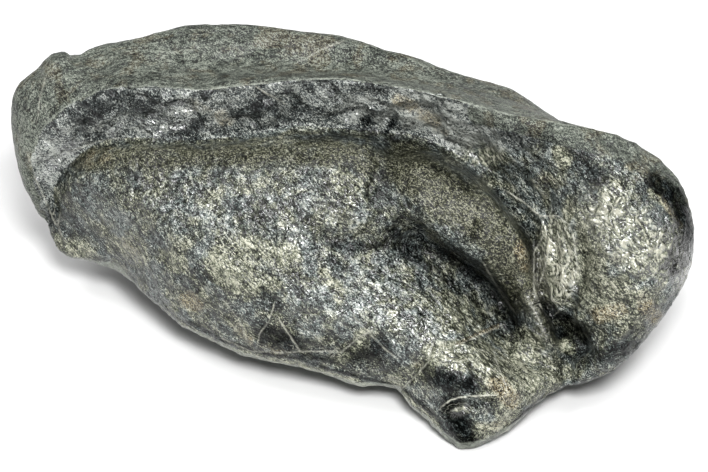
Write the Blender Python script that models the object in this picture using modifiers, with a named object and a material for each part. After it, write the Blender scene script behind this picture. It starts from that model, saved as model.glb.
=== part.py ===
"""Fossil whale ear bone (tympanic bulla): one solid piece of dense, petrified bone.

The bone is a thick shell that curls over an inner roll. Its surface is lofted through named feature
lines. Every line runs from the near left corner, where the lip begins, to the notch beside the big
end lobe, where the lip ends, and the lines follow each other round the body.
"""

import math

import bmesh
import bpy
import numpy as np
from mathutils import Vector, noise

# Millimetres, the unit of every size below.
MM = 0.001

# The visible lines are drawn as the bone is looked at: (across, up, towards the eye) from a centre.
VIEW_AZIMUTH = 21.0
VIEW_ELEVATION = 40.0
EYE_DISTANCE = 600.0

# The bone stands on a small flat spot this far under the drawing centre.
GROUND = -19.0

# Loft resolution, then the even grid that the lofted skin is rebuilt on.
STATIONS = 260
STEPS_ALONG_LINE = 40
STEPS_BETWEEN_LINES = 12
GRID = 0.55
SMOOTHING_PASSES = 4
HIDDEN_SMOOTHING_PASSES = 70
MOST_TRIANGLES = 9400

# A stroke of relief fades out at this many half widths, and where the skin turns this far from its eye.
STROKE_REACH = 1.6
STROKE_FACING = 0.35

# The hidden side's rounding starts and is full where the skin faces this far from the eye.
ROUNDING_START = 0.1
ROUNDING_FULL = 0.4

# The worn surface: (size of the lumps, their height), and the seed of their places.
LUMPS = [(11.0, 0.35), (4.5, 0.16)]
LUMP_OFFSET = (31.7, 12.9, 77.1)

BONE_COLOUR = (0.075, 0.078, 0.068, 1.0)
BONE_ROUGHNESS = 0.45

# Both ends of every line.
NEAR_LEFT_CORNER = (-42.2, -0.3, -16.5)
NOTCH = (29.7, -21.1, 1.0)

LOWER_EDGE = [
    (-40.6, -2.5, -15.5), (-36.3, -3.6, -14), (-32.8, -5.0, -12.5), (-28.3, -8.9, -9), (-23.5, -12.8, -5.8),
    (-15.1, -16.6, -2.5), (-5.4, -18.7, -0.5), (0, -20.7, 1), (6, -21.3, 1.5), (7.8, -23.5, 2.5),
    (10.6, -25.7, 4), (14.2, -29.4, 6), (16.3, -29.7, 6.3), (18.9, -28.7, 6), (21.9, -26.9, 5),
    (25.1, -24.2, 3.5), (28.2, -21.7, 2),
]
LOW_SLOPE = [
    (-40, 0, -14.2), (-32.8, -1.7, -7.5), (-26.9, -6.8, -2.5), (-20, -10.6, 1.5), (-10.3, -14.2, 4),
    (0, -16.5, 5.5), (7.8, -18.3, 7), (11.9, -20.7, 9.5), (15.8, -22.8, 11), (20.3, -21.7, 10),
    (24.4, -20.3, 7), (27.5, -20, 4),
]
HIGH_SLOPE = [
    (-39.7, 1.4, -12.5), (-32.8, 2.2, -3.5), (-26.3, -1.9, 2), (-20, -4.7, 5.5), (-10.3, -7.5, 7.5),
    (-0.6, -9.6, 8.5), (6.4, -11, 8), (11.9, -13.8, 8), (16.8, -16.5, 8), (21, -16.9, 5.5),
    (24.4, -17.5, 4), (27.5, -18.6, 3),
]
GROOVE = [
    (-40, 3.1, -11), (-32.8, 5.6, -1), (-24.2, 2.4, 4.3), (-14.4, -0.6, 7), (-4.7, -2.0, 7.2),
    (2.9, -1.9, 5.2), (10, -2.2, 2.2), (14.7, -4.2, 0), (18.6, -6.9, -1.8), (20.8, -9.6, -3),
    (21.8, -13.1, -1.8), (23.1, -15.8, 0.8), (26.5, -18.3, 2),
]
LOBE_SHOULDER = [
    (-40.2, 4.2, -10.2), (-35.5, 7.2, -3.4), (-28, 7.0, 1.3), (-18, 5.2, 5.4), (-6, 4.6, 7.6),
    (3, 3.8, 8), (9.4, 1.7, 8), (14.2, -1.1, 7.6), (18.4, -4.1, 6.6), (20.9, -6.8, 4.2),
    (22.7, -9.6, 2.6), (24.3, -12.9, 2.4), (26.8, -16.6, 2.4),
]
ROLL_CREST = [
    (-40.3, 5, -9.5), (-37.6, 8.8, -5.2), (-32, 11.5, -1.8), (-21.4, 11, 2.2), (-7.5, 11.9, 4.2),
    (2.2, 11.7, 5), (10.8, 9.7, 6.2), (17.4, 5.4, 7.4), (21.7, 1.4, 7.6), (23.6, -2.4, 6.6),
    (23.9, -6.4, 4.5), (25.1, -10.6, 3.5), (26.5, -14.4, 3), (27.9, -17.5, 2.5),
]
CREVICE = [
    (-41.9, 1.9, -15), (-41.4, 7.1, -11.5), (-38.5, 10.8, -8), (-35.4, 12.8, -5.6), (-31.7, 13.6, -3.8),
    (-21, 13.3, -1.8), (-13, 14.3, -0.9), (-8.5, 15.3, -0.4), (-1, 14.7, -0.6), (4.3, 14.4, -0.4),
    (8.6, 13.8, -0.4), (11.9, 12.4, -0.4), (15.4, 10.4, -0.2), (18.9, 7.1, 0.4), (21.8, 3.9, 1.4),
    (24.3, 0.6, 2), (25.1, -2.2, 2.2), (25.3, -6.1, 1.8), (26.9, -10.6, 1), (28.6, -14.4, 0.4),
    (29.4, -17.9, 0.2),
]
CHANNEL = [
    (-42.4, 2.4, -14.5), (-42.4, 7.4, -11), (-40.4, 11.3, -7.6), (-37.2, 13.9, -5.2), (-32.2, 15, -3.2),
    (-21, 15, -1.2), (-12.6, 15.9, -0.2), (-6, 16.7, 0.4), (4.8, 16.2, 1), (11, 14.4, 1.6),
    (17.2, 11.4, 2.2), (22.8, 6.8, 4), (26.8, 2, 5.6), (28.6, -2.6, 6), (28.8, -7, 5.2),
    (29.4, -12.6, 2.4), (30.2, -17.8, 1),
]
BROKEN_BAND = [
    (-42.8, 2.9, -14), (-43.3, 7.8, -10), (-41.9, 11.9, -6.5), (-38.8, 15, -3.5), (-32.5, 16.8, -1.4),
    (-21, 17.1, 0.4), (-12.2, 17.9, 1.6), (-3.3, 18.6, 2.4), (6.4, 17.8, 3.6), (14, 15.4, 4.6),
    (20.3, 12.2, 6), (26.5, 7.8, 8.8), (32.1, 1.5, 11.6), (34.2, -4.7, 11.2), (33.5, -10.3, 8.6),
    (32.5, -15.1, 4.6), (31.4, -18.6, 3),
]
UNDER_RIM = [
    (-43.1, 3.3, -14), (-44.2, 9.2, -9), (-42.8, 13.6, -5.2), (-40, 16.4, -2.8), (-34.6, 19.2, -0.3),
    (-21, 19.6, 2.6), (-3.3, 21.1, 4.3), (6.4, 20, 5.8), (13.3, 18.2, 7.5), (21, 15.4, 9.6),
    (30, 11.9, 12.8), (37.6, 6.4, 14), (41.1, -0.6, 13), (39.7, -8.9, 10.8), (35.8, -15.1, 8),
    (32.8, -18.6, 5),
]
RIM = [
    (-42.4, 1.4, -15.8), (-43.6, 5.7, -12.5), (-44.6, 10.6, -8.5), (-43.3, 14.6, -5.2), (-40.8, 17.1, -3),
    (-36, 19.7, -1), (-29.2, 20.7, 1), (-21, 20.3, 3), (-12.2, 21.3, 4), (-3.3, 21.8, 4.5),
    (6.4, 20.7, 6.4), (13.3, 19.2, 8.2), (20.3, 17.2, 10), (29.4, 15.3, 11.5), (38.6, 13.1, 9),
    (45.1, 8, 6), (47.1, 1.4, 4), (46.4, -5.3, 3), (42.4, -12.2, 3), (36.1, -18.5, 3.5),
    (32.9, -20, 3),
]
DISH = [
    (-43.1, 1.9, -16), (-45.6, 7.8, -11), (-46.1, 14.7, -7), (-42.9, 20.6, -4.5), (-33.9, 23.3, -4),
    (-21, 24.4, -4.5), (-7.5, 24.4, -4), (6.4, 23.1, -1), (16.1, 20.6, 2), (24.4, 17.8, 4),
    (30.7, 14.7, 3), (39.7, 10.6, 1), (44.6, 2.9, -2), (43.9, -5.4, -3.5), (39.7, -12.4, -3.5),
    (34.2, -17.5, -2),
]
TOP_EDGE = [
    (-43.9, 2.6, -16), (-46.5, 10.1, -12.5), (-47.5, 18.1, -10), (-46.9, 20.6, -9), (-43.9, 23.5, -9),
    (-41.1, 25.0, -9), (-38.5, 24.9, -9), (-36.7, 26.0, -9), (-30.4, 27.6, -9), (-22.5, 29.3, -9),
    (-14.4, 29.3, -8), (-3.3, 27.9, -6.5), (6.3, 25.3, -4.5), (14.2, 22.5, -3), (21.9, 20.1, -2),
    (26.9, 17.1, -3), (30.7, 14, -6), (38.3, 9.2, -8), (41.8, 2.2, -10), (40.4, -6.1, -11),
    (36.3, -12.4, -10), (32.8, -17.2, -6),
]

# The hidden lines are given along the bone, across it and up.
HIGH_BACK = [
    (-45, 0, -6), (-47, 5, 3), (-42, 12, 9), (-30, 18.5, 12), (-12, 23, 12), (7, 24, 9), (22, 25, 2),
    (30, 24, -4), (33, 19, -11), (33, 10, -16),
]
LOW_BACK = [
    (-44, -1, -10), (-44, 5, -4), (-38, 13, 0), (-26, 19, 1), (-10, 23, 0), (8, 23.5, -3), (20, 22, -8),
    (27, 17, -13), (30, 9, -17),
]
UNDER_BACK = [
    (-42, -1, -12), (-38, 5, -9.5), (-30, 10, -12), (-20, 13, -16), (-6, 14, -19.2), (8, 14, -20),
    (18, 12, -20), (25, 8, -19), (30, 2, -17),
]
UNDER_FRONT = [
    (-41, -2.5, -12.5), (-35, -1, -14.5), (-26, 1.5, -18.4), (-14, 3, -20.4), (0, 3, -20.8), (12, 2, -20.8),
    (20, 0, -20.2), (27, -1, -18),
]

# Worn hollows and swellings, as the drawing shows them: (line, half width, rise), in millimetres.
SEEN_RELIEF = [
    # Broken facets along the dark band below the rim.
    ([(5.1, 16)], 1.5, -0.5), ([(17.8, 12.1)], 2.4, -0.8), ([(-0.3, 16.9)], 2, -0.6),
    ([(10.6, 14.7)], 2.8, -0.6), ([(-15.8, 15.4)], 2, -0.6), ([(-7.5, 18.2)], 2.3, -0.5),
    ([(-24.2, 17.2)], 2.4, -0.6), ([(-31, 17)], 2.2, -0.5), ([(-38, 14.2)], 2, -0.6),
    ([(-42.2, 9.2)], 1.8, -0.6), ([(22.4, 9.2)], 2.4, -0.5), ([(27.4, 5)], 2.8, -0.5),
    # Dip across the roll, behind the lobe, and the little ledge below it.
    ([(5.7, 11.9), (4, 7.8), (5.4, 3.4), (8.5, 0)], 2.6, -1.3),
    ([(-4, -0.3), (-1.2, -1.1), (1.5, -0.6)], 1.2, -0.6),
    # Rib from the lobe's tip down to the notch, with the pit and the dark gap beside it.
    ([(23.4, -6.6), (24.9, -10), (26.6, -13), (27.6, -15)], 1.1, 0.9),
    ([(29.6, -13), (31.2, -15.4)], 1.4, -1.9), ([(27, -9.8), (28.3, -11.6)], 0.9, -1.1),
    ([(29.4, -15.3)], 0.9, 0.9),
    # Long low ridge in the shiny channel.
    ([(25.9, 0.8), (27.6, -3.4), (28.1, -8.6)], 0.7, 0.45),
    # Swelling, facet and flat on the near end of the slope.
    ([(15.4, -18.2)], 4.4, 0.7), ([(16.1, -25.9)], 2.8, -0.8), ([(25, -17.9)], 3, -0.5),
    ([(12.4, -23.4), (18.9, -22.2)], 0.8, -0.4),
    # Left end: nick in the lower edge, knob on the top corner and hollow beside it.
    ([(-33.6, -4.6)], 1.6, -0.7), ([(-41, 23.9)], 2.2, 0.6), ([(-36, 23.6)], 2.2, -0.5),
    # Shallow hollows of the slope.
    ([(-21.4, 2.4)], 3.4, -0.35), ([(-12.2, -8.6), (-8.4, -12)], 1.8, -0.5), ([(-2.6, -7.4)], 3, -0.35),
    ([(8.6, -9.4)], 3, 0.35), ([(-24, -6)], 2.6, 0.3),
    # Lengthwise furrow and swelling of the flat top.
    ([(-29, 22.4), (-14.4, 24.2), (-0.6, 24.2), (12, 21.4)], 1.7, -0.45),
    ([(-24, 26.6), (-7.5, 26.5), (9.2, 23.3)], 1.3, 0.3),
    # Soft edge that parts the bulb's matte top from its grainy front.
    ([(20.8, 14.4), (26, 14.4), (30.6, 12.8), (35, 10.6), (40, 8.2)], 1.4, 0.4),
]

# The same on the back, as (along, up), and on the underside, as (along, across).
BACK_RELIEF = [
    ([(-36, 2), (-12, -1), (10, -5), (24, -9)], 4, -0.9), ([(-24, 7), (-4, 6), (14, 3)], 3.5, 0.5),
    ([(-38, 8)], 3, -0.5), ([(-16, -8)], 4, -0.6), ([(4, 12)], 3, -0.5), ([(8, -12)], 3.5, -0.6),
    ([(22, 6)], 3.2, -0.5), ([(30, -2)], 2.6, 0.5), ([(-30, -3)], 3, 0.5), ([(36, 3)], 2.2, -0.5),
]
UNDER_RELIEF = [
    ([(-32, 9), (-12, 14), (8, 14), (24, 8)], 3, -0.8), ([(-30, -1)], 3, -0.5), ([(28, -6)], 3, -0.6),
    ([(-16, 2)], 3, 0.4), ([(34, 2)], 2.4, -0.5), ([(20, 14)], 2.6, 0.5),
]


def view_axes():
    """Right, up and towards-the-eye directions of the drawing, in the part's axes."""
    a, e = math.radians(VIEW_AZIMUTH), math.radians(VIEW_ELEVATION)
    right = np.array([math.cos(a), math.sin(a), 0.0])
    toward = np.array([math.sin(a) * math.cos(e), -math.cos(a) * math.cos(e), math.sin(e)])
    return right, np.cross(toward, right), toward


def from_view(points):
    """Points of the drawing as they look from the eye, set at their depth, in the part's axes."""
    right, up, toward = view_axes()
    across, high, depth = np.array(points, float).T
    shrink = (EYE_DISTANCE - depth) / EYE_DISTANCE
    return (
        np.outer(across * shrink, right)
        + np.outer(high * shrink, up)
        + np.outer(depth, toward)
    )


def spline(points, steps, closed=False):
    """Centripetal Catmull-Rom through points (first axis), with this many steps per span."""
    count = len(points)
    if closed:
        before, after, after2 = np.roll(points, 1, 0), np.roll(points, -1, 0), np.roll(points, -2, 0)
    else:
        first = 2 * points[:1] - points[1:2]
        last = 2 * points[-1:] - points[-2:-1]
        padded = np.concatenate([first, points, last])
        before, after, after2 = padded[:-3], padded[2:-1], padded[3:]
        points = points[:-1]
        count -= 1

    def gap(a, b):
        return np.maximum(np.linalg.norm(b - a, axis=-1, keepdims=True), 1e-6) ** 0.5

    d0, d1, d2 = gap(before, points), gap(points, after), gap(after, after2)
    m1 = d1 * ((points - before) / d0 - (after - before) / (d0 + d1)) + (after - points)
    m2 = (after - points) + d1 * ((after2 - after) / d2 - (after2 - points) / (d1 + d2))
    rows = []
    for t in np.arange(steps) / steps:
        h = t * t * (3 - 2 * t)
        rows.append(
            points * (1 - h) + after * h + m1 * (t * (1 - t) ** 2) + m2 * (-t * t * (1 - t))
        )
    out = np.stack(rows, 1).reshape(count * steps, *points.shape[1:])
    return out if closed else np.concatenate([out, after[-1:]])


def evenly(points, count):
    """The line through points, resampled at even distances."""
    fine = spline(points, STEPS_ALONG_LINE)
    run = np.concatenate([[0], np.cumsum(np.linalg.norm(np.diff(fine, axis=0), axis=1))])
    at = np.linspace(0, run[-1], count)
    return np.stack([np.interp(at, run, fine[:, k]) for k in range(3)], 1)


def feature_lines():
    """Every feature line from corner to notch, in order round the body."""
    corner, notch = from_view([NEAR_LEFT_CORNER]), from_view([NOTCH])
    seen = [
        LOWER_EDGE, LOW_SLOPE, HIGH_SLOPE, GROOVE, LOBE_SHOULDER, ROLL_CREST, CREVICE, CHANNEL, BROKEN_BAND,
        UNDER_RIM, RIM, DISH, TOP_EDGE,
    ]
    hidden = [HIGH_BACK, LOW_BACK, UNDER_BACK, UNDER_FRONT]
    bodies = [from_view(line) for line in seen] + [np.array(line, float) for line in hidden]
    return np.stack([evenly(np.concatenate([corner, b, notch]), STATIONS) for b in bodies])


def lofted_skin(lines):
    """A closed mesh through the feature lines, with a point at each end."""
    rings = spline(lines, STEPS_BETWEEN_LINES, closed=True)
    around, along = rings.shape[:2]
    mesh = bpy.data.meshes.new("skin")
    bm = bmesh.new()
    ends = [bm.verts.new(rings[0, 0] * MM), bm.verts.new(rings[0, -1] * MM)]
    grid = [[bm.verts.new(rings[i, j] * MM) for j in range(1, along - 1)] for i in range(around)]
    for i in range(around):
        this, following = grid[i], grid[(i + 1) % around]
        for j in range(along - 3):
            bm.faces.new((this[j], this[j + 1], following[j + 1], following[j]))
        bm.faces.new((ends[0], this[0], following[0]))
        bm.faces.new((following[-1], this[-1], ends[1]))
    bmesh.ops.recalc_face_normals(bm, faces=bm.faces[:])
    bm.to_mesh(mesh)
    bm.free()
    return mesh


def nearness(points, line):
    """Distance of every flat point from a line of corner points, or from its only one."""
    best = np.full(len(points), np.inf)
    for a, b in zip(line[:-1] or line, line[1:] or line):
        a, b = np.array(a, float), np.array(b, float)
        run = b - a
        t = np.clip((points - a) @ run / max(run @ run, 1e-9), 0, 1)
        best = np.minimum(best, np.linalg.norm(points - a - t[:, None] * run, axis=1))
    return best


def relief(flat, facing, strokes):
    """Height that the strokes of one drawing add to the points that face it."""
    height = np.zeros(len(flat))
    for line, half_width, rise in strokes:
        across = np.clip(nearness(flat, line) / (STROKE_REACH * half_width), 0, 1)
        height += rise * (1 - across**2) ** 2
    return height * np.clip(facing / STROKE_FACING, 0, 1)


def worn(points, normals):
    """The skin's points (millimetres) with lumps, hollows and swellings."""
    right, up, toward = view_axes()
    depth = points @ toward
    look = EYE_DISTANCE / (EYE_DISTANCE - depth)
    seen = np.stack([points @ right * look, points @ up * look], 1)
    height = relief(seen, normals @ toward, SEEN_RELIEF)
    height += relief(points[:, [0, 2]], normals[:, 1], BACK_RELIEF)
    height += relief(points[:, [0, 1]], -normals[:, 2], UNDER_RELIEF)
    for size, rise in LUMPS:
        places = (points + LUMP_OFFSET) / size
        height += rise * np.array([noise.noise(Vector(p)) for p in places])
    return points + height[:, None] * normals


def read_out(mesh, what):
    """The points or the normals of a mesh, one row each."""
    values = np.empty(len(mesh.vertices) * 3)
    mesh.vertices.foreach_get(what, values)
    return values.reshape(-1, 3)


def soften_hidden_side(obj):
    """Rounds off what faces away from the eye, where the long lines of the bone run together."""
    away = -read_out(obj.data, "normal") @ view_axes()[2]
    away = np.clip((away - ROUNDING_START) / (ROUNDING_FULL - ROUNDING_START), 0, 1)
    group = obj.vertex_groups.new(name="hidden_side")
    for index, weight in enumerate(away):
        if weight > 0:
            group.add([index], float(weight), "REPLACE")
    rounding = obj.modifiers.new("round_hidden_side", "SMOOTH")
    rounding.vertex_group = group.name
    rounding.iterations = HIDDEN_SMOOTHING_PASSES


def applied(obj):
    """A plain mesh of the object as its modifiers leave it."""
    graph = bpy.context.evaluated_depsgraph_get()
    mesh = bpy.data.meshes.new_from_object(obj.evaluated_get(graph))
    obj.modifiers.clear()
    obj.data = mesh
    return mesh


def fossil_bone():
    """Dense dark stone with a satin skin."""
    material = bpy.data.materials.new("fossil_bone")
    material.use_nodes = True
    shader = material.node_tree.nodes["Principled BSDF"]
    shader.inputs["Base Color"].default_value = BONE_COLOUR
    shader.inputs["Roughness"].default_value = BONE_ROUGHNESS
    shader.inputs["Metallic"].default_value = 0.0
    return material


def main():
    for obj in list(bpy.data.objects):
        bpy.data.objects.remove(obj)
    collection = bpy.data.collections.new("fossil_whale_ear_bone")
    bpy.context.scene.collection.children.link(collection)
    bone = bpy.data.objects.new("ear_bone", lofted_skin(feature_lines()))
    collection.objects.link(bone)

    rebuild = bone.modifiers.new("even_grid", "REMESH")
    rebuild.mode = "VOXEL"
    rebuild.voxel_size = GRID * MM
    soften = bone.modifiers.new("soften", "SMOOTH")
    soften.iterations = SMOOTHING_PASSES
    mesh = applied(bone)
    soften_hidden_side(bone)
    mesh = applied(bone)

    points = worn(read_out(mesh, "co") / MM, read_out(mesh, "normal"))
    points[:, 2] = np.maximum(points[:, 2], GROUND)
    low, high = points.min(0), points.max(0)
    base = np.array([(low[0] + high[0]) / 2, (low[1] + high[1]) / 2, GROUND])
    mesh.vertices.foreach_set("co", ((points - base) * MM).ravel())
    bone["view_centre"] = [float(c) for c in -base * MM]

    thin = bone.modifiers.new("fewer_faces", "DECIMATE")
    thin.ratio = MOST_TRIANGLES / (2 * len(mesh.polygons))
    bone.data.materials.append(fossil_bone())
    bone.data.shade_smooth()


main()
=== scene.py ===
"""Fossil whale ear bone, the dressed model: a petrified tympanic bulla with its mineral skin.

The fine skin is lofted through the same feature lines as the solid, worn with the same hollows and
swellings, then broken, pitted and grained. It takes the place of the plain solid.
"""

import math
from types import SimpleNamespace

import bmesh
import bpy
import numpy as np
from bpy.props import FloatProperty, FloatVectorProperty, PointerProperty
from bpy.types import Operator, Panel, PropertyGroup
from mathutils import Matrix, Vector, noise
from mathutils.kdtree import KDTree


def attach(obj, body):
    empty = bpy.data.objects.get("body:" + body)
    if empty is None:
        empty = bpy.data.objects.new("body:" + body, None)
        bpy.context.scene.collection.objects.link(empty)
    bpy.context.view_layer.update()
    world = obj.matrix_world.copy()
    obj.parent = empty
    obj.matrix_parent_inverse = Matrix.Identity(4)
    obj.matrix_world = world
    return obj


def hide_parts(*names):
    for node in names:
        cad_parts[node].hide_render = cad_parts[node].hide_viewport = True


bl_info = {
    "name": "Fossil Whale Ear Bone",
    "version": (1, 0, 0),
    "blender": (4, 5, 0),
    "location": "View3D > Sidebar > Ear Bone",
    "description": "Builds a petrified whale ear bone and the pale table that it lies on",
    "category": "Add Mesh",
}

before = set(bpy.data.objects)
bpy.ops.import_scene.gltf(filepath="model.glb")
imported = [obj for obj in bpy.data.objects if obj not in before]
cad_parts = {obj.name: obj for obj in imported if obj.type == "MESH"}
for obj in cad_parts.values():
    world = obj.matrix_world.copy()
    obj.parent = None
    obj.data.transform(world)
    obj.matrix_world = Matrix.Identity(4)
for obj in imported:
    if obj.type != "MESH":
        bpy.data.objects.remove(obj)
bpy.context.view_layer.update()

# Millimetres, the unit of every size below.
MM = 0.001

# The visible lines are drawn as the bone is looked at: (across, up, towards the eye) from a centre.
VIEW_AZIMUTH = 21.0
VIEW_ELEVATION = 40.0
EYE_DISTANCE = 600.0
VIEW_WIDTH = 98.33

# Where the centre of the drawing lies in the frame.
DRAWING_CENTRE = (3.36, -4.3, 19.0)

STATIONS = 260
STEPS_ALONG_LINE = 40
STEPS_BETWEEN_LINES = 12

# A stroke of relief fades out at this many half widths, and where the skin turns this far from its eye.
STROKE_REACH = 1.6
STROKE_FACING = 0.35

# The hidden side's rounding starts and is full where the skin faces this far from the eye.
ROUNDING_START = 0.1
ROUNDING_FULL = 0.4

# Both ends of every line.
NEAR_LEFT_CORNER = (-42.2, -0.3, -16.5)
NOTCH = (29.7, -21.1, 1.0)

LOWER_EDGE = [
    (-40.6, -2.5, -15.5), (-36.3, -3.6, -14), (-32.8, -5.0, -12.5), (-28.3, -8.9, -9), (-23.5, -12.8, -5.8),
    (-15.1, -16.6, -2.5), (-5.4, -18.7, -0.5), (0, -20.7, 1), (6, -21.3, 1.5), (7.8, -23.5, 2.5),
    (10.6, -25.7, 4), (14.2, -29.4, 6), (16.3, -29.7, 6.3), (18.9, -28.7, 6), (21.9, -26.9, 5),
    (25.1, -24.2, 3.5), (28.2, -21.7, 2),
]
LOW_SLOPE = [
    (-40, 0, -14.2), (-32.8, -1.7, -7.5), (-26.9, -6.8, -2.5), (-20, -10.6, 1.5), (-10.3, -14.2, 4),
    (0, -16.5, 5.5), (7.8, -18.3, 7), (11.9, -20.7, 9.5), (15.8, -22.8, 11), (20.3, -21.7, 10),
    (24.4, -20.3, 7), (27.5, -20, 4),
]
HIGH_SLOPE = [
    (-39.7, 1.4, -12.5), (-32.8, 2.2, -3.5), (-26.3, -1.9, 2), (-20, -4.7, 5.5), (-10.3, -7.5, 7.5),
    (-0.6, -9.6, 8.5), (6.4, -11, 8), (11.9, -13.8, 8), (16.8, -16.5, 8), (21, -16.9, 5.5),
    (24.4, -17.5, 4), (27.5, -18.6, 3),
]
GROOVE = [
    (-40, 3.1, -11), (-32.8, 5.6, -1), (-24.2, 2.4, 4.3), (-14.4, -0.6, 7), (-4.7, -2.0, 7.2),
    (2.9, -1.9, 5.2), (10, -2.2, 2.2), (14.7, -4.2, 0), (18.6, -6.9, -1.8), (20.8, -9.6, -3),
    (21.8, -13.1, -1.8), (23.1, -15.8, 0.8), (26.5, -18.3, 2),
]
LOBE_SHOULDER = [
    (-40.2, 4.2, -10.2), (-35.5, 7.2, -3.4), (-28, 7.0, 1.3), (-18, 5.2, 5.4), (-6, 4.6, 7.6),
    (3, 3.8, 8), (9.4, 1.7, 8), (14.2, -1.1, 7.6), (18.4, -4.1, 6.6), (20.9, -6.8, 4.2),
    (22.7, -9.6, 2.6), (24.3, -12.9, 2.4), (26.8, -16.6, 2.4),
]
ROLL_CREST = [
    (-40.3, 5, -9.5), (-37.6, 8.8, -5.2), (-32, 11.5, -1.8), (-21.4, 11, 2.2), (-7.5, 11.9, 4.2),
    (2.2, 11.7, 5), (10.8, 9.7, 6.2), (17.4, 5.4, 7.4), (21.7, 1.4, 7.6), (23.6, -2.4, 6.6),
    (23.9, -6.4, 4.5), (25.1, -10.6, 3.5), (26.5, -14.4, 3), (27.9, -17.5, 2.5),
]
CREVICE = [
    (-41.9, 1.9, -15), (-41.4, 7.1, -11.5), (-38.5, 10.8, -8), (-35.4, 12.8, -5.6), (-31.7, 13.6, -3.8),
    (-21, 13.3, -1.8), (-13, 14.3, -0.9), (-8.5, 15.3, -0.4), (-1, 14.7, -0.6), (4.3, 14.4, -0.4),
    (8.6, 13.8, -0.4), (11.9, 12.4, -0.4), (15.4, 10.4, -0.2), (18.9, 7.1, 0.4), (21.8, 3.9, 1.4),
    (24.3, 0.6, 2), (25.1, -2.2, 2.2), (25.3, -6.1, 1.8), (26.9, -10.6, 1), (28.6, -14.4, 0.4),
    (29.4, -17.9, 0.2),
]
CHANNEL = [
    (-42.4, 2.4, -14.5), (-42.4, 7.4, -11), (-40.4, 11.3, -7.6), (-37.2, 13.9, -5.2), (-32.2, 15, -3.2),
    (-21, 15, -1.2), (-12.6, 15.9, -0.2), (-6, 16.7, 0.4), (4.8, 16.2, 1), (11, 14.4, 1.6),
    (17.2, 11.4, 2.2), (22.8, 6.8, 4), (26.8, 2, 5.6), (28.6, -2.6, 6), (28.8, -7, 5.2),
    (29.4, -12.6, 2.4), (30.2, -17.8, 1),
]
BROKEN_BAND = [
    (-42.8, 2.9, -14), (-43.3, 7.8, -10), (-41.9, 11.9, -6.5), (-38.8, 15, -3.5), (-32.5, 16.8, -1.4),
    (-21, 17.1, 0.4), (-12.2, 17.9, 1.6), (-3.3, 18.6, 2.4), (6.4, 17.8, 3.6), (14, 15.4, 4.6),
    (20.3, 12.2, 6), (26.5, 7.8, 8.8), (32.1, 1.5, 11.6), (34.2, -4.7, 11.2), (33.5, -10.3, 8.6),
    (32.5, -15.1, 4.6), (31.4, -18.6, 3),
]
UNDER_RIM = [
    (-43.1, 3.3, -14), (-44.2, 9.2, -9), (-42.8, 13.6, -5.2), (-40, 16.4, -2.8), (-34.6, 19.2, -0.3),
    (-21, 19.6, 2.6), (-3.3, 21.1, 4.3), (6.4, 20, 5.8), (13.3, 18.2, 7.5), (21, 15.4, 9.6),
    (30, 11.9, 12.8), (37.6, 6.4, 14), (41.1, -0.6, 13), (39.7, -8.9, 10.8), (35.8, -15.1, 8),
    (32.8, -18.6, 5),
]
RIM = [
    (-42.4, 1.4, -15.8), (-43.6, 5.7, -12.5), (-44.6, 10.6, -8.5), (-43.3, 14.6, -5.2), (-40.8, 17.1, -3),
    (-36, 19.7, -1), (-29.2, 20.7, 1), (-21, 20.3, 3), (-12.2, 21.3, 4), (-3.3, 21.8, 4.5),
    (6.4, 20.7, 6.4), (13.3, 19.2, 8.2), (20.3, 17.2, 10), (29.4, 15.3, 11.5), (38.6, 13.1, 9),
    (45.1, 8, 6), (47.1, 1.4, 4), (46.4, -5.3, 3), (42.4, -12.2, 3), (36.1, -18.5, 3.5),
    (32.9, -20, 3),
]
DISH = [
    (-43.1, 1.9, -16), (-45.6, 7.8, -11), (-46.1, 14.7, -7), (-42.9, 20.6, -4.5), (-33.9, 23.3, -4),
    (-21, 24.4, -4.5), (-7.5, 24.4, -4), (6.4, 23.1, -1), (16.1, 20.6, 2), (24.4, 17.8, 4),
    (30.7, 14.7, 3), (39.7, 10.6, 1), (44.6, 2.9, -2), (43.9, -5.4, -3.5), (39.7, -12.4, -3.5),
    (34.2, -17.5, -2),
]
TOP_EDGE = [
    (-43.9, 2.6, -16), (-46.5, 10.1, -12.5), (-47.5, 18.1, -10), (-46.9, 20.6, -9), (-43.9, 23.5, -9),
    (-41.1, 25.0, -9), (-38.5, 24.9, -9), (-36.7, 26.0, -9), (-30.4, 27.6, -9), (-22.5, 29.3, -9),
    (-14.4, 29.3, -8), (-3.3, 27.9, -6.5), (6.3, 25.3, -4.5), (14.2, 22.5, -3), (21.9, 20.1, -2),
    (26.9, 17.1, -3), (30.7, 14, -6), (38.3, 9.2, -8), (41.8, 2.2, -10), (40.4, -6.1, -11),
    (36.3, -12.4, -10), (32.8, -17.2, -6),
]

# The hidden lines are given along the bone, across it and up.
HIGH_BACK = [
    (-45, 0, -6), (-47, 5, 3), (-42, 12, 9), (-30, 18.5, 12), (-12, 23, 12), (7, 24, 9), (22, 25, 2),
    (30, 24, -4), (33, 19, -11), (33, 10, -16),
]
LOW_BACK = [
    (-44, -1, -10), (-44, 5, -4), (-38, 13, 0), (-26, 19, 1), (-10, 23, 0), (8, 23.5, -3), (20, 22, -8),
    (27, 17, -13), (30, 9, -17),
]
UNDER_BACK = [
    (-42, -1, -12), (-38, 5, -9.5), (-30, 10, -12), (-20, 13, -16), (-6, 14, -19.2), (8, 14, -20),
    (18, 12, -20), (25, 8, -19), (30, 2, -17),
]
UNDER_FRONT = [
    (-41, -2.5, -12.5), (-35, -1, -14.5), (-26, 1.5, -18.4), (-14, 3, -20.4), (0, 3, -20.8), (12, 2, -20.8),
    (20, 0, -20.2), (27, -1, -18),
]

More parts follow.
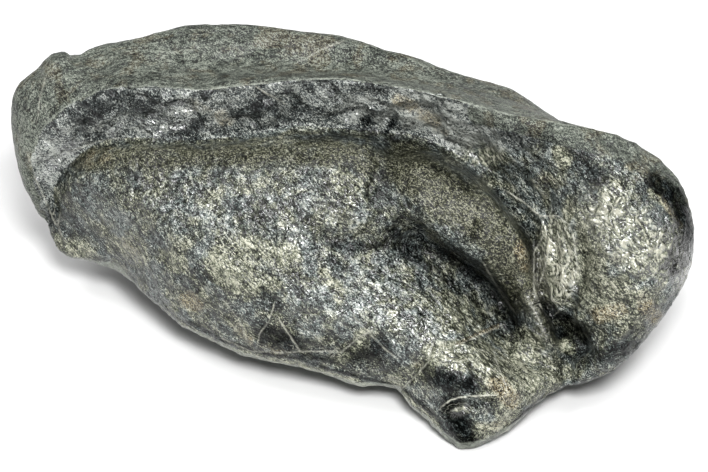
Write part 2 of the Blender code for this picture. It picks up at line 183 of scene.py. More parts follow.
# Worn hollows and swellings, as the drawing shows them: (line, half width, rise), in millimetres.
SEEN_RELIEF = [
    # Broken facets along the dark band below the rim.
    ([(5.1, 16)], 1.5, -0.5), ([(17.8, 12.1)], 2.4, -0.8), ([(-0.3, 16.9)], 2, -0.6),
    ([(10.6, 14.7)], 2.8, -0.6), ([(-15.8, 15.4)], 2, -0.6), ([(-7.5, 18.2)], 2.3, -0.5),
    ([(-24.2, 17.2)], 2.4, -0.6), ([(-31, 17)], 2.2, -0.5), ([(-38, 14.2)], 2, -0.6),
    ([(-42.2, 9.2)], 1.8, -0.6), ([(22.4, 9.2)], 2.4, -0.5), ([(27.4, 5)], 2.8, -0.5),
    # Dip across the roll, behind the lobe, and the little ledge below it.
    ([(5.7, 11.9), (4, 7.8), (5.4, 3.4), (8.5, 0)], 2.6, -1.3),
    ([(-4, -0.3), (-1.2, -1.1), (1.5, -0.6)], 1.2, -0.6),
    # Rib from the lobe's tip down to the notch, with the pit and the dark gap beside it.
    ([(23.4, -6.6), (24.9, -10), (26.6, -13), (27.6, -15)], 1.1, 0.9),
    ([(29.6, -13), (31.2, -15.4)], 1.4, -1.9), ([(27, -9.8), (28.3, -11.6)], 0.9, -1.1),
    ([(29.4, -15.3)], 0.9, 0.9),
    # Long low ridge in the shiny channel.
    ([(25.9, 0.8), (27.6, -3.4), (28.1, -8.6)], 0.7, 0.45),
    # Swelling, facet and flat on the near end of the slope.
    ([(15.4, -18.2)], 4.4, 0.7), ([(16.1, -25.9)], 2.8, -0.8), ([(25, -17.9)], 3, -0.5),
    ([(12.4, -23.4), (18.9, -22.2)], 0.8, -0.4),
    # Left end: nick in the lower edge, knob on the top corner and hollow beside it.
    ([(-33.6, -4.6)], 1.6, -0.7), ([(-41, 23.9)], 2.2, 0.6), ([(-36, 23.6)], 2.2, -0.5),
    # Shallow hollows of the slope.
    ([(-21.4, 2.4)], 3.4, -0.35), ([(-12.2, -8.6), (-8.4, -12)], 1.8, -0.5), ([(-2.6, -7.4)], 3, -0.35),
    ([(8.6, -9.4)], 3, 0.35), ([(-24, -6)], 2.6, 0.3),
    # Lengthwise furrow and swelling of the flat top.
    ([(-29, 22.4), (-14.4, 24.2), (-0.6, 24.2), (12, 21.4)], 1.7, -0.45),
    ([(-24, 26.6), (-7.5, 26.5), (9.2, 23.3)], 1.3, 0.3),
    # Soft edge that parts the bulb's matte top from its grainy front.
    ([(20.8, 14.4), (26, 14.4), (30.6, 12.8), (35, 10.6), (40, 8.2)], 1.4, 0.4),
]

# The same on the back, as (along, up), and on the underside, as (along, across).
BACK_RELIEF = [
    ([(-36, 2), (-12, -1), (10, -5), (24, -9)], 4, -0.9), ([(-24, 7), (-4, 6), (14, 3)], 3.5, 0.5),
    ([(-38, 8)], 3, -0.5), ([(-16, -8)], 4, -0.6), ([(4, 12)], 3, -0.5), ([(8, -12)], 3.5, -0.6),
    ([(22, 6)], 3.2, -0.5), ([(30, -2)], 2.6, 0.5), ([(-30, -3)], 3, 0.5), ([(36, 3)], 2.2, -0.5),
]
UNDER_RELIEF = [
    ([(-32, 9), (-12, 14), (8, 14), (24, 8)], 3, -0.8), ([(-30, -1)], 3, -0.5), ([(28, -6)], 3, -0.6),
    ([(-16, 2)], 3, 0.4), ([(34, 2)], 2.4, -0.5), ([(20, 14)], 2.6, 0.5),
]

# The worn surface: (size of the lumps, their share of the height), and the seed of their places.
LUMPS = [(11.0, 1.0), (4.5, 0.46)]
LUMP_OFFSET = (31.7, 12.9, 77.1)

# Flakes of the broken glassy band: (size, steepness of each flake's lean).
BAND_FLAKES = [(4.2, 0.5), (1.9, 0.45)]

# Finer relief of the dressed skin, as the drawing shows it: (line, half width, rise).
FINE_RELIEF = [
    # Pale ridge of a healed crack, and the step under it.
    ([(12.1, -23.8), (13.3, -22.8), (14.7, -22.4), (16.9, -22.2), (19.4, -22.1)], 0.5, 0.5),
    ([(12.9, -24.6), (16.1, -23.3), (18.9, -23.1)], 0.7, -0.5),
    # Crossed cracks near the lower edge.
    ([(-11.4, -10.0), (-11.9, -12.4), (-13.5, -15.4)], 0.25, 0.14),
    ([(-10.0, -11.9), (-8.8, -14.2), (-7.4, -16.1)], 0.25, 0.14),
    ([(1.1, -11.4), (2.5, -13.9), (4.4, -16.4)], 0.25, 0.12),
    ([(-1.7, -15.8), (0.6, -14.2), (2.8, -12.6)], 0.25, 0.12),
    ([(-9.7, -14.2)], 1.6, -0.35), ([(2.5, -15.1)], 1.2, -0.2),
    # Dark crack that runs on from the groove.
    ([(21.9, -11.9), (22.1, -14.2), (21.7, -16.9)], 0.3, -0.5),
    ([(6.4, -21.1), (7.8, -19.4), (9.7, -17.5), (10.6, -15.4)], 0.5, -0.35),
    # Crumpled leaf in the channel, its rim, and the troughs beside it.
    ([(28.3, 0.6), (28.8, -3.6), (28.2, -8.1)], 1.6, 0.5),
    ([(27.4, -0.6), (26.8, -3.1), (26.2, -5.4), (25.7, -6.7)], 0.45, 0.35),
    ([(26.2, 2.8), (28.3, 2.8), (29.9, 1.5), (30.6, -0.4), (31.0, -4.3), (30.3, -7.6),
    (28.3, -10.6)], 0.45, 0.35),
    ([(26.2, 2.8), (26.4, 0.3), (25.0, -2.4), (25.0, -7.4), (26.0, -9.9)], 0.4, 0.3),
    ([(28.2, -1.1), (28.1, -4.4), (27.2, -8.3)], 0.5, -0.35),
    ([(31.7, 0.0), (32.1, -3.6), (31.8, -7.5), (30.3, -10.3)], 0.6, -0.35),
    ([(29.4, -0.6), (29.7, -3.6), (28.9, -7.8)], 0.35, 0.25),
    # Ridges of the lobe's stalk.
    ([(23.1, -6.8), (25.0, -9.7), (26.7, -13.1), (27.6, -15.1)], 0.35, 0.35),
    ([(21.4, -7.8), (23.6, -10.6), (25.3, -13.9)], 0.3, 0.25),
    ([(22.2, -8.3), (24.4, -11.4), (26.0, -14.2)], 0.3, -0.3),
    ([(24.2, -7.8), (26.0, -11.0), (27.1, -13.6)], 0.3, -0.3),
    # Worn edge of the left end, and the trough inside it.
    ([(-45.1, 10.8), (-44.2, 7.5), (-42.6, 4.4), (-41.8, 1.9)], 0.45, 0.25),
    ([(-44.0, 9.7), (-42.8, 6.4), (-41.4, 3.3)], 0.8, -0.5),
    # Knob at the lower end of the channel.
    ([(29.6, -15.3)], 0.8, 0.5),
    # Dents on the front of the bulb.
    ([(34.7, 4.3)], 1.2, -0.2), ([(39.7, 1.9)], 1.4, -0.25), ([(42.8, -1.4)], 1.3, -0.25),
    ([(38.1, -3.6)], 1.5, -0.2), ([(34.2, -8.9)], 1.6, -0.25), ([(41.8, 4.3)], 1.1, 0.2),
    # Bright-edged facets of the near swelling.
    ([(13.3, -16.1), (15.0, -18.1), (15.8, -20.6)], 0.6, 0.25),
    ([(18.1, -16.1), (19.2, -18.3), (18.8, -21.1)], 0.6, 0.3),
    ([(16.7, -18.3)], 0.8, -0.3), ([(14.4, -24.2)], 0.9, -0.3),
    ([(21.0, -17.2), (19.9, -16.1), (20.8, -14.9)], 0.4, 0.25),
    # Chips of the band.
    ([(4.3, 15.1), (5.3, 17.2)], 0.5, -0.6), ([(-0.3, 16.9)], 1.1, -0.35),
    ([(16.1, 13.1), (19.4, 11.7)], 1.3, -0.3),
    ([(-13.5, 20.7), (-10.0, 18.6)], 0.25, 0.15), ([(8.1, 14.4), (11.9, 13.3)], 0.9, -0.25),
    # Scratch above the channel.
    ([(21.7, 6.1), (23.6, 4.6), (25.4, 3.2)], 0.3, 0.3),
    # Knob at the back of the left end, and the notch beside it.
    ([(-41.5, 24.4), (-40.3, 24.9)], 0.9, 0.5), ([(-38.6, 24.2)], 0.6, -0.5), ([(-42.5, 22.8)], 0.7, 0.3),
]

# Soft patches of finish, and of painted light and shade, as the drawing shows them: (line, half width, strength).
# Shiny patches: lower roughness and a clear coat, and in the colour a painted sheen.
GLOSS_AND_PAINTED_SHEEN = [
    ([(-42.8, 8.3), (-41.1, 10.3), (-38.9, 12.4)], 1.2, 0.9), ([(-33.6, 14.2), (-32.6, 16.1)], 0.8, 0.7),
    ([(-28.1, 15.3), (-25.8, 16.4), (-23.6, 17.2)], 1.7, 0.9),
    ([(-3.6, 20.3), (-1.9, 18.6)], 1.0, 0.7), ([(-0.8, 16.7), (0.6, 17.6), (1.7, 18.3)], 1.0, 1),
    ([(3.5, 15.3), (4.7, 17.2)], 0.8, 0.9),
    ([(6.9, 15.0), (7.6, 16.9)], 0.7, 0.7), ([(11.7, 15.3), (13.6, 13.9), (15.3, 12.8)], 1.5, 1.1),
    ([(16.1, 13.1), (17.8, 11.7), (20.0, 11.1)], 1.5, 1.1), ([(17.2, 10.0), (19.2, 9.2)], 0.8, 0.9),
    ([(-20.7, 14.7), (-18.3, 16.4)], 0.9, 0.5),
    ([(27.5, 1.7), (28.8, -1.4), (29.4, -5.3), (28.6, -9.2)], 1.6, 1.6),
    ([(26.0, -1.4), (25.7, -4.4), (26.2, -8.1)], 0.9, 1.4),
    ([(34.9, 3.9), (37.2, 0.0), (41.1, -2.8), (44.2, -3.9)], 3.0, 1.1),
    ([(39.7, 1.9), (43.6, -0.3)], 2.2, 0.9),
    ([(-10.0, 2.9), (-7.5, 0.1)], 1.6, 0.7),
    ([(-28.3, 6.4), (-17.2, 4.3), (-4.7, 6.4), (-0.6, 2.9)], 4, 0.4),
    ([(4.3, -8.9), (9.9, -11.9), (15.0, -13.9)], 3.2, 0.7), ([(-7.5, -8.9), (-0.6, -11.0)], 3, 0.4),
    ([(13.1, -16.4), (15.3, -18.1)], 1.4, 1), ([(18.2, -17.2), (19.4, -18.9)], 1.0, 0.9),
    ([(14.0, -24.6), (15.6, -23.9)], 0.6, 1),
    ([(24.2, -8.9), (26.5, -13.1)], 1.3, 0.6), ([(19.6, -7.5), (20.7, -8.9)], 0.7, 0.5),
]
# Painted shade in the grooves, crevices, pits and under the rim, mixed with the dark film of the stone.
DARK_FILM_AND_PAINTED_SHADE = [
    # Groove under the lobe and the shaded top of the lobe, darkened with painted shade as well as dark film, and the
    # arcs about its left end.
    ([(-2.6, -1.0), (0.8, -1.5), (5.0, -1.0), (10.0, -1.5), (13.6, -3.1)], 0.8, 0.75),
    ([(12.8, -2.2), (15.6, -3.9), (18.6, -6.4), (21.0, -9.2), (22.1, -12.5)], 1.5, 1),
    ([(11.4, -2.8), (15.0, -5.6), (18.6, -8.9), (20.3, -11.9)], 2.8, 0.5),
    ([(5.3, 0.6), (7.5, -1.9), (9.7, -1.9)], 1.0, 0.8),
    ([(3.6, 12.6), (8.5, 11.7), (12.6, 9.7), (15.6, 7.5)], 2.0, 0.65),
    ([(5.8, 9.4), (8.1, 6.7)], 1.5, 0.4), ([(5.3, 10.6), (4.4, 6.4), (6.4, 2.2), (10.6, -1.1)], 1.5, 0.6),
    ([(7.8, 9.7), (6.9, 6.4), (8.3, 3.1), (11.7, 0.3)], 0.8, 0.4),
    ([(2.8, 10.6), (1.9, 6.4), (3.6, 2.8), (6.9, -0.6)], 0.7, 0.5),
    ([(17.5, 1.7), (16.8, 0.6), (15.6, -0.7)], 0.8, 0.6), ([(5.8, -1.1), (8.9, -3.6)], 1.0, 0.7),
    ([(19.4, 6.4), (22.2, 3.3), (24.4, 0.0), (24.9, -3.6)], 0.5, 0.7),
    # Line of the crevice, darkened with painted shade.
    ([(-42.8, 4.3), (-41.4, 7.1), (-39.4, 9.4), (-36.7, 11.7), (-33.6, 12.6), (-29.7, 13.1),
    (-20.7, 13.2), (-13.1, 13.9), (-3.3, 14.6), (5.7, 13.8), (10.6, 12.4), (15.0, 9.7), (18.5, 6.1), (20.8, 3.1)], 0.3, 0.5),
    ([(-7.5, 13.6), (-1.2, 14.0), (5.7, 13.5), (10.8, 12.2)], 0.9, 0.7),
    # Top of the roll, darkened with painted shade where the light falls strongest, and dark streaks of the slope.
    ([(-36.7, 7.8), (-26.9, 8.1), (-17.2, 8.9), (-7.5, 8.9), (-0.6, 7.1)], 3.6, 0.35),
    ([(-25.8, 3.1), (-23.5, 1.7), (-21.1, 0.8)], 1.6, 0.4),
    ([(-16.1, 4.2), (-13.8, 2.2), (-11.7, 0.0)], 1.6, 0.45),
    ([(-10.0, 5.0), (-7.2, 3.1), (-5.3, 0.6)], 1.4, 0.35), ([(-21.7, -5.6), (-19.0, -6.1)], 0.8, 0.5),
    ([(-12.8, -7.5), (-11.1, -11.1)], 1.0, 0.45), ([(-27.2, -2.2), (-24.7, -5.3)], 1.0, 0.4),
    ([(-40.6, 7.8), (-40.0, 4.3), (-38.9, 0.8)], 1.2, 0.4),

    # Inner wall of the left end.
    ([(-44.4, 8.9), (-43.1, 6.1), (-41.7, 3.3)], 1.0, 0.8), ([(-42.8, 5.6), (-41.1, 1.9)], 1.3, 0.7),
    # Smooth patch, brown hollows and pits of the high side.
    ([(-3.3, 21.7), (-0.3, 24.2), (4.2, 25.3)], 1.8, 0.3), ([(-13.8, 24.7), (-11.0, 25.6)], 1.0, 0.5),
    ([(-33.9, 21.1), (-28.3, 22.2)], 0.9, 0.4), ([(-24.2, 24.7)], 0.7, 0.6),
    ([(-19.7, 23.1), (-17.8, 22.2)], 0.6, 0.5), ([(-7.5, 20.0), (-4.7, 21.1)], 0.7, 0.45),
    ([(-40.8, 17.5), (-40.0, 20.0)], 0.9, 0.5),
    # Broken band.
    ([(-38.1, 16.4), (-35.3, 18.1), (-31.8, 19.2), (-28.3, 18.3)], 1.8, 0.7),
    ([(-23.5, 15.0), (-20.7, 15.8)], 0.8, 0.5), ([(-15.8, 15.8), (-12.8, 18.9), (-8.9, 17.2)], 1.6, 0.5),
    ([(-1.9, 20.3), (1.9, 21.1), (5.3, 19.4)], 0.5, 0.5),
    ([(4.7, 14.7), (6.0, 16.9)], 0.5, 1), ([(1.5, 15.8), (2.5, 18.3)], 0.7, 0.7),
    ([(8.6, 18.9), (13.3, 17.2)], 0.6, 0.4),
    # Painted shade below the rim of the bulb, and along its right edge where the bulb turns away.
    ([(21.9, 14.2), (26.5, 13.3), (30.7, 11.1), (34.4, 8.1)], 1.7, 0.7),
    ([(41.8, 7.5), (44.4, 5.6), (45.7, 1.9), (45.7, -1.4), (44.3, -4.2)], 1.5, 1.2),
    # Pit and notch, dark film with painted shade.
    ([(28.6, -13.1), (31.7, -13.9)], 1.6, 1), ([(30.3, -16.1), (34.2, -16.9), (38.6, -15.3)], 1.3, 0.7),
    ([(26.7, -10.3), (27.5, -11.7)], 0.8, 0.9),
    # Lower edge and near swelling.
    ([(-12.4, -13.6), (-10.0, -14.2), (-7.8, -15.3)], 1.5, 0.95),
    ([(-0.6, -16.7), (1.7, -16.1), (3.6, -15.3)], 1.5, 0.9),
    ([(-7.5, -16.7), (-5.0, -16.8), (-2.5, -17.4)], 0.6, 0.9),
    ([(-3.1, -13.3), (-1.4, -15.0)], 0.8, 0.6), ([(3.1, -16.4), (6.1, -18.9)], 0.9, 0.6),
    ([(-22.8, -11.9), (-18.3, -14.4), (-12.8, -16.2), (-8.3, -16.9), (-3.1, -18.5), (1.9, -19.9),
    (5.3, -20.6)], 0.25, 0.9),
    ([(6.7, -21.1), (9.2, -23.3), (11.4, -25.0), (12.8, -27.2), (13.8, -28.8), (15.8, -29.3),
    (18.6, -28.5), (21.7, -26.2), (24.4, -23.9), (26.5, -22.2), (30.0, -21.1), (34.2, -20.0), (39.7, -16.7)], 0.25, 0.9),
    ([(10.3, -19.0), (13.1, -20.3), (15.8, -20.6)], 1.4, 1.0),
    ([(13.6, -23.6), (14.7, -26.1), (15.8, -28.3)], 1.8, 1.2), ([(16.1, -23.3), (18.1, -23.3)], 0.5, 0.6),
    ([(21.9, -11.9), (22.1, -14.2), (21.7, -16.9)], 0.35, 1),
    ([(23.1, 1.1), (24.4, -1.4), (25.3, -4.7)], 0.6, 0.8),
    ([(31.5, 0.0), (32.1, -3.6), (31.8, -7.2), (30.6, -10.0)], 0.5, 0.7),
    ([(26.0, -9.2), (27.5, -11.1), (29.4, -11.4)], 0.9, 1.1), ([(34.7, -12.5), (38.9, -13.3)], 1.3, 0.5),
    ([(32.5, -0.3), (33.1, -3.6)], 0.8, 0.3), ([(-22.8, -7.5), (-20.6, -8.9)], 0.9, 0.4),
    ([(-6.9, -14.2), (-3.9, -15.6)], 0.9, 0.6), ([(23.6, 1.9), (25.3, -0.8), (24.6, -3.6)], 0.5, 0.8),
    ([(22.6, -8.3), (24.4, -11.9)], 0.5, 0.7),
]
# Pale mineral patches, with painted highlights on the band's glassy facets, painted sheen on the bulb and the
# channel's leaf, painted light on the left end, and a painted reflection of the table along the lower edge.
PALE_AND_PAINTED_LIGHT = [
    # Painted highlights on the glassy facets of the band.
    ([(6.1, 18.3), (9.2, 17.2), (11.9, 15.3)], 1.4, 0.8),
    ([(13.3, 14.4), (16.8, 11.9), (19.6, 11.7)], 1.6, 0.8), ([(-1.2, 16.4), (1.7, 18.3)], 1.2, 0.7),
    ([(-18.9, -4.2), (-16.5, -5.6), (-14.4, -6.4)], 1.9, 1),
    ([(-14.9, -1.4), (-11.9, -2.8), (-8.6, -2.8)], 1.7, 0.8), ([(-13.6, -5.6), (-11.4, -6.7)], 1.1, 0.7),
    ([(-25.6, -2.8), (-24.2, -3.9)], 1.0, 0.8), ([(-4.0, -5.0), (-2.2, -8.3)], 0.8, 0.6),
    ([(-32.8, -0.8), (-29.7, -2.2)], 1.3, 0.6),
    ([(-23.3, -9.2), (-21.1, -10.6)], 1.3, 0.6), ([(-16.9, -11.9), (-14.4, -14.2)], 0.9, 0.6),
    ([(-1.7, -17.2), (-0.3, -15.3), (1.4, -13.9)], 0.9, 0.9),
    # Painted reflection of the table along the lower edge, and a painted highlight on the small facet of the near
    # swelling.
    ([(-23.6, -12.6), (-18.5, -15.3), (-12.9, -17.1), (-8.3, -17.8), (-3.2, -19.4), (2.1, -20.8),
    (5.6, -21.4)], 0.35, 1.2),
    ([(6.1, -21.5), (8.9, -24.0), (11.0, -25.6), (12.2, -27.8), (13.3, -29.3), (15.8, -29.9),
    (18.9, -29.0), (22.1, -26.8), (24.9, -24.4), (26.9, -22.8), (30.3, -21.7), (34.4, -20.6), (40.0, -17.2)], 0.3, 1.1), ([(13.8, -24.3), (14.7, -23.9), (15.6, -24.2)], 0.35, 1.8),
    ([(-40.8, -1.7), (-37.5, -2.2)], 1.3, 0.8), ([(-45.6, 15.0), (-44.9, 10.3), (-43.1, 5.3)], 1.6, 0.8),
    ([(7.8, 18.1), (11.9, 16.4), (16.1, 14.7)], 2.4, 0.9), ([(-1.9, 7.8), (0.6, 5.8)], 1.2, 0.4),
    ([(9.2, 16.4), (11.4, 15.6)], 0.7, 0.9),
    ([(-20.7, 14.7), (-17.8, 16.7)], 0.8, 0.5), ([(28.1, 11.9), (29.4, 10.3)], 0.9, 0.9),
    ([(29.4, 3.6), (29.7, 2.8)], 0.5, 0.9),
    ([(34.2, 2.9), (37.6, 0.1), (42.5, -3.6)], 3.0, 0.5),
    ([(31.7, -2.8), (33.6, -7.5), (37.2, -9.7)], 3, 0.7),
    ([(41.1, 6.4), (43.6, 4.2), (45.3, 0.0)], 0.4, 0.7),
    ([(10.6, -15.6), (10.8, -18.9)], 0.7, 0.9), ([(5.3, -20.3), (10.0, -18.6)], 1.0, 0.6),
    ([(18.9, -21.4), (22.5, -22.2), (21.4, -24.4)], 1.3, 0.7),
    ([(17.5, -26.9), (21.0, -26.1)], 1.1, 0.9),
    ([(19.4, -20.0), (21.9, -22.2), (21.1, -24.4)], 1.6, 0.8), ([(29.2, -15.1), (30.1, -15.6)], 0.7, 2),
    ([(23.1, -15.8), (25.1, -20.0)], 2.8, 0.7), ([(12.8, -15.8), (16.1, -16.7), (19.7, -16.1)], 2.0, 0.5),
    ([(11.9, -8.9), (16.1, -11.4)], 2.4, 0.35), ([(-42.9, 13.3), (-41.4, 11.7)], 0.7, 0.9),
    ([(29.6, -18.9)], 1, 0.6), ([(27.5, -0.6), (27.6, -4.7), (28.1, -7.8)], 1.7, 0.9),
    ([(28.6, 1.7), (29.9, -1.4), (30.3, -5.6)], 0.7, 0.9),
]
OCHRE = [
    ([(-37.5, 10.3), (-34.4, 11.5)], 1.2, 0.6),
    ([(-22.5, 18.1), (-19.4, 17.2), (-17.5, 15.8)], 1.2, 0.6), ([(-42.5, 23.6), (-41.1, 22.5)], 0.9, 0.8),
    ([(22.9, -1.4), (23.8, -4.2)], 1.0, 0.85), ([(33.9, -10.8), (36.9, -10.3)], 1.4, 0.9),
    ([(38.1, 8.9), (41.4, 7.2)], 1.4, 0.5),
    ([(45.6, -3.9), (46.7, -3.3)], 0.7, 0.6), ([(-11.0, 27.5), (-7.5, 25.8), (-5.3, 26.7)], 1.8, 0.5),
    ([(-8.1, 23.6), (-4.4, 24.4)], 1, 0.5),
    ([(-23.3, -8.6), (-21.9, -9.7)], 1.1, 1.1), ([(9.2, 17.2), (11.4, 15.8)], 1.0, 1.0),
    ([(6.1, 18.9), (8.3, 17.8)], 1.0, 1.0), ([(11.4, 15.0), (12.8, 14.2)], 0.6, 0.7),
    ([(42.5, 5.6), (45.3, 1.4)], 0.5, 0.7), ([(40.4, -9.4), (41.8, -11.1)], 1.4, 0.9),
    ([(-12.8, -15.3), (-9.7, -16.4)], 0.8, 0.7),
    ([(20.0, -20.6), (21.9, -22.8)], 1.3, 1.3),
    ([(14.3, -15.0), (17.2, -13.6), (20.0, -12.5)], 0.35, 1.0),
    ([(18.1, -26.7), (21.0, -25.8)], 0.7, 0.6), ([(-15.1, -16.5), (-9.6, -16.9)], 0.6, 0.5),
    ([(8.9, -17.9)], 1, 0.6), ([(25.8, 7.5), (27.5, 8.1)], 0.8, 0.5),
    ([(-29.2, 27.5), (-30.8, 23.3)], 1.0, 0.4), ([(-16.9, -12.2), (-14.4, -14.4)], 0.8, 0.6),
    ([(-32.5, -0.8), (-29.7, -2.2)], 1, 0.5), ([(-3.1, 0.0), (-0.6, -0.6)], 0.8, 0.6),
    ([(-40.8, -1.4), (-37.5, -1.9)], 1, 0.4),
]
OLIVE = [
    ([(7.1, 9.9), (11.9, 6.4), (17.2, 2.9), (21.9, -2.2), (23.9, -6.9)], 3.6, 1),
    ([(-37.5, 10.6), (-31.1, 11.1), (-21.4, 11.1), (-3.3, 11.9), (2.5, 10.3)], 2.0, 0.8),
    ([(25.1, -8.9), (27.5, -15.1)], 1.3, 0.7), ([(32.1, 5.0), (34.2, -1.9), (34.9, -11.7)], 3.4, 0.5),
    ([(-5.0, 4.3), (-0.3, 2.5)], 1.2, 0.6),
]
SKIN = [
    ([(17.5, 17.2), (24.4, 15.6), (30.7, 13.9), (37.2, 12.2), (41.4, 10.0)], 1.7, 1),
    ([(28.6, 16.1), (35.6, 14.2), (42.5, 10.6), (46.1, 5.0)], 1, 0.8),
]

# Thin pale veins, as the drawing shows them, and one painted highlight.
VEINS = [
    ([(12.1, -23.8), (13.3, -22.8), (14.7, -22.4), (16.9, -22.2), (19.4, -22.1)], 1.4),
    ([(-11.1, -9.7), (-11.9, -11.9), (-13.1, -13.5), (-13.5, -15.4)], 0.9),
    ([(-10.3, -11.7), (-8.8, -14.0), (-7.4, -16.1)], 0.9),
    ([(0.0, -11.1), (1.9, -13.3), (4.2, -15.6), (5.6, -16.7)], 0.7),
    ([(-1.7, -16.1), (0.3, -14.4), (2.8, -12.8)], 0.9),
    ([(14.0, -15.3), (17.2, -13.9), (20.3, -12.5)], 0.7),
    ([(21.4, 6.1), (23.6, 4.7), (25.7, 2.9)], 1.3),
    ([(27.4, -0.6), (26.8, -3.1), (26.2, -5.4), (25.7, -6.7)], 1.2),
    ([(29.0, 0.6), (29.7, -3.6), (28.6, -8.9)], 0.7),
    ([(26.2, 2.8), (28.3, 2.8), (29.9, 1.5), (30.6, -0.4), (31.0, -4.3), (30.3, -7.6), (28.3, -10.6)], 1.2),
    ([(26.2, 2.8), (26.4, 0.3), (25.0, -2.4), (25.0, -7.4), (26.0, -9.9)], 0.9),
    ([(-13.5, 20.7), (-11.9, 19.7), (-10.0, 18.6)], 0.9),
    ([(-18.3, -14.2), (-14.4, -16.0), (-10.3, -16.2), (-5.8, -16.0), (-2.8, -16.0)], 0.8),
    ([(11.0, -15.0), (10.3, -17.5), (8.6, -19.4), (6.7, -21.2)], 0.9),
    ([(19.4, -16.1), (20.1, -18.3), (21.0, -20.6)], 0.6),
    ([(-17.5, -9.7), (-15.8, -11.9), (-15.0, -14.2)], 0.6),
    ([(-7.5, -12.5), (-5.0, -14.2), (-3.3, -16.4)], 0.6), ([(-1.2, 27.2), (-4.7, 25.8), (-7.5, 24.2)], 0.4),
    ([(-45.3, 11.2), (-44.3, 8.1), (-42.6, 4.4), (-41.7, 2.2), (-40.8, 0.6)], 0.8),
    ([(-40.8, 3.3), (-41.1, 1.5), (-40.3, -0.6)], 0.8),
    # Painted highlight on the small dark facet of the near swelling.
    ([(13.8, -24.2), (14.7, -23.8), (15.6, -24.2)], 0.9),
    ([(18.1, -4.0), (20.3, -7.8), (22.1, -10.3)], 0.7),
    ([(24.2, -8.9), (25.6, -11.4), (26.7, -14.2)], 0.8),
    ([(-42.8, 21.9), (-43.6, 19.4), (-43.9, 16.4)], 0.6),
    ([(-39.2, 11.9), (-35.3, 13.2), (-32.8, 13.6)], 0.5),
]
VEIN_REACH = 0.8


class BoneLook(PropertyGroup):
    """Sizes and colours of the dressed skin."""

    grid: FloatProperty(
        name="Grid", description="Spacing of the fine skin's even grid", default=0.42 * MM, unit="LENGTH"
    )
    lump_height: FloatProperty(
        name="Lumps", description="Height of the worn lumps", default=0.35 * MM, unit="LENGTH"
    )
    grain_size: FloatProperty(
        name="Grain size", description="Width of one mineral grain", default=0.25 * MM, unit="LENGTH"
    )
    grain_height: FloatProperty(
        name="Grain height", description="Height of the mineral grains", default=0.1 * MM, unit="LENGTH"
    )
    fold_height: FloatProperty(
        name="Fold height", description="Height of the small folds", default=0.5 * MM, unit="LENGTH"
    )
    flake_size: FloatProperty(
        name="Flake size", description="Width of one glassy flake", default=1.6 * MM, unit="LENGTH"
    )
    skin_colour: FloatVectorProperty(
        name="Skin", description="Matte outer skin", default=(0.055, 0.064, 0.052), subtype="COLOR"
    )
    skin_stain: FloatVectorProperty(
        name="Skin stain", description="Brown stain of the matte skin", default=(0.062, 0.054, 0.032), subtype="COLOR"
    )
    # Pale worn rim, and a painted reflection of the white table along the lower edge.
    worn_edge_and_reflection_colour: FloatVectorProperty(
        name="Worn edge", description="Pale worn edges and painted table reflection", default=(0.27, 0.29, 0.25), subtype="COLOR"
    )
    cool_colour: FloatVectorProperty(
        name="Cool stone", description="Blue-grey inner surface", default=(0.075, 0.092, 0.088), subtype="COLOR"
    )
    warm_colour: FloatVectorProperty(
        name="Warm stone", description="Green-grey inner surface", default=(0.092, 0.099, 0.069), subtype="COLOR"
    )
    olive_colour: FloatVectorProperty(
        name="Roll", description="Olive film on the roll and the lobe", default=(0.036, 0.038, 0.021), subtype="COLOR"
    )
    olive_grain: FloatVectorProperty(
        name="Roll grain", description="Palest grains of the roll", default=(0.19, 0.19, 0.142), subtype="COLOR"
    )
    skin_grain: FloatVectorProperty(
        name="Skin grain", description="Palest grains of the skin", default=(0.19, 0.205, 0.17), subtype="COLOR"
    )
    band_colour: FloatVectorProperty(
        name="Band", description="Dark broken band", default=(0.044, 0.052, 0.051), subtype="COLOR"
    )
    silver_colour: FloatVectorProperty(
        name="Silver mineral", description="Palest cool grains", default=(0.33, 0.345, 0.315), subtype="COLOR"
    )
    cream_colour: FloatVectorProperty(
        name="Cream mineral", description="Palest warm grains", default=(0.37, 0.366, 0.29), subtype="COLOR"
    )
    ochre_colour: FloatVectorProperty(
        name="Iron stain", description="Rusty stains", default=(0.19, 0.15, 0.08), subtype="COLOR"
    )
    vein_colour: FloatVectorProperty(
        name="Veins", description="Pale veins and chipped rims", default=(0.4, 0.4, 0.34), subtype="COLOR"
    )
    # Tint of the dark patches: the stone's dark film, and painted shade in the hollows, under the rim and on the
    # bulb's turned-away edge.
    dark_film_and_shade_colour: FloatVectorProperty(
        name="Dark film and painted shade", description="Tint of the dark film in the hollows", default=(0.27, 0.28, 0.29), subtype="COLOR"
    )


class StageLook(PropertyGroup):
    """The table and the light."""

    floor_size: FloatProperty(name="Table", description="Width of the table", default=6.0, unit="LENGTH")
    floor_colour: FloatVectorProperty(
        name="Table colour", description="Pale table", default=(0.62, 0.62, 0.62), subtype="COLOR"
    )
    zenith: FloatProperty(name="Zenith", description="Strength of the sky overhead", default=1.0)
    lamps: FloatProperty(name="Lamps", description="Brightness of the small lamps in the sky", default=7.0)
    horizon: FloatProperty(name="Horizon", description="Strength of the sky near the table", default=0.12)
    front_power: FloatProperty(name="Front box", description="Power of the front soft box", default=5.6, unit="POWER")
    left_power: FloatProperty(name="Left box", description="Power of the left soft box", default=1.2, unit="POWER")
    right_power: FloatProperty(name="Right box", description="Power of the right soft box", default=1.2, unit="POWER")
    box_size: FloatProperty(name="Box size", description="Width of each soft box", default=0.18, unit="LENGTH")


def view_axes():
    """Right, up and towards-the-eye directions of the drawing, in the part's axes."""
    a, e = math.radians(VIEW_AZIMUTH), math.radians(VIEW_ELEVATION)
    right = np.array([math.cos(a), math.sin(a), 0.0])
    toward = np.array([math.sin(a) * math.cos(e), -math.cos(a) * math.cos(e), math.sin(e)])
    return right, np.cross(toward, right), toward


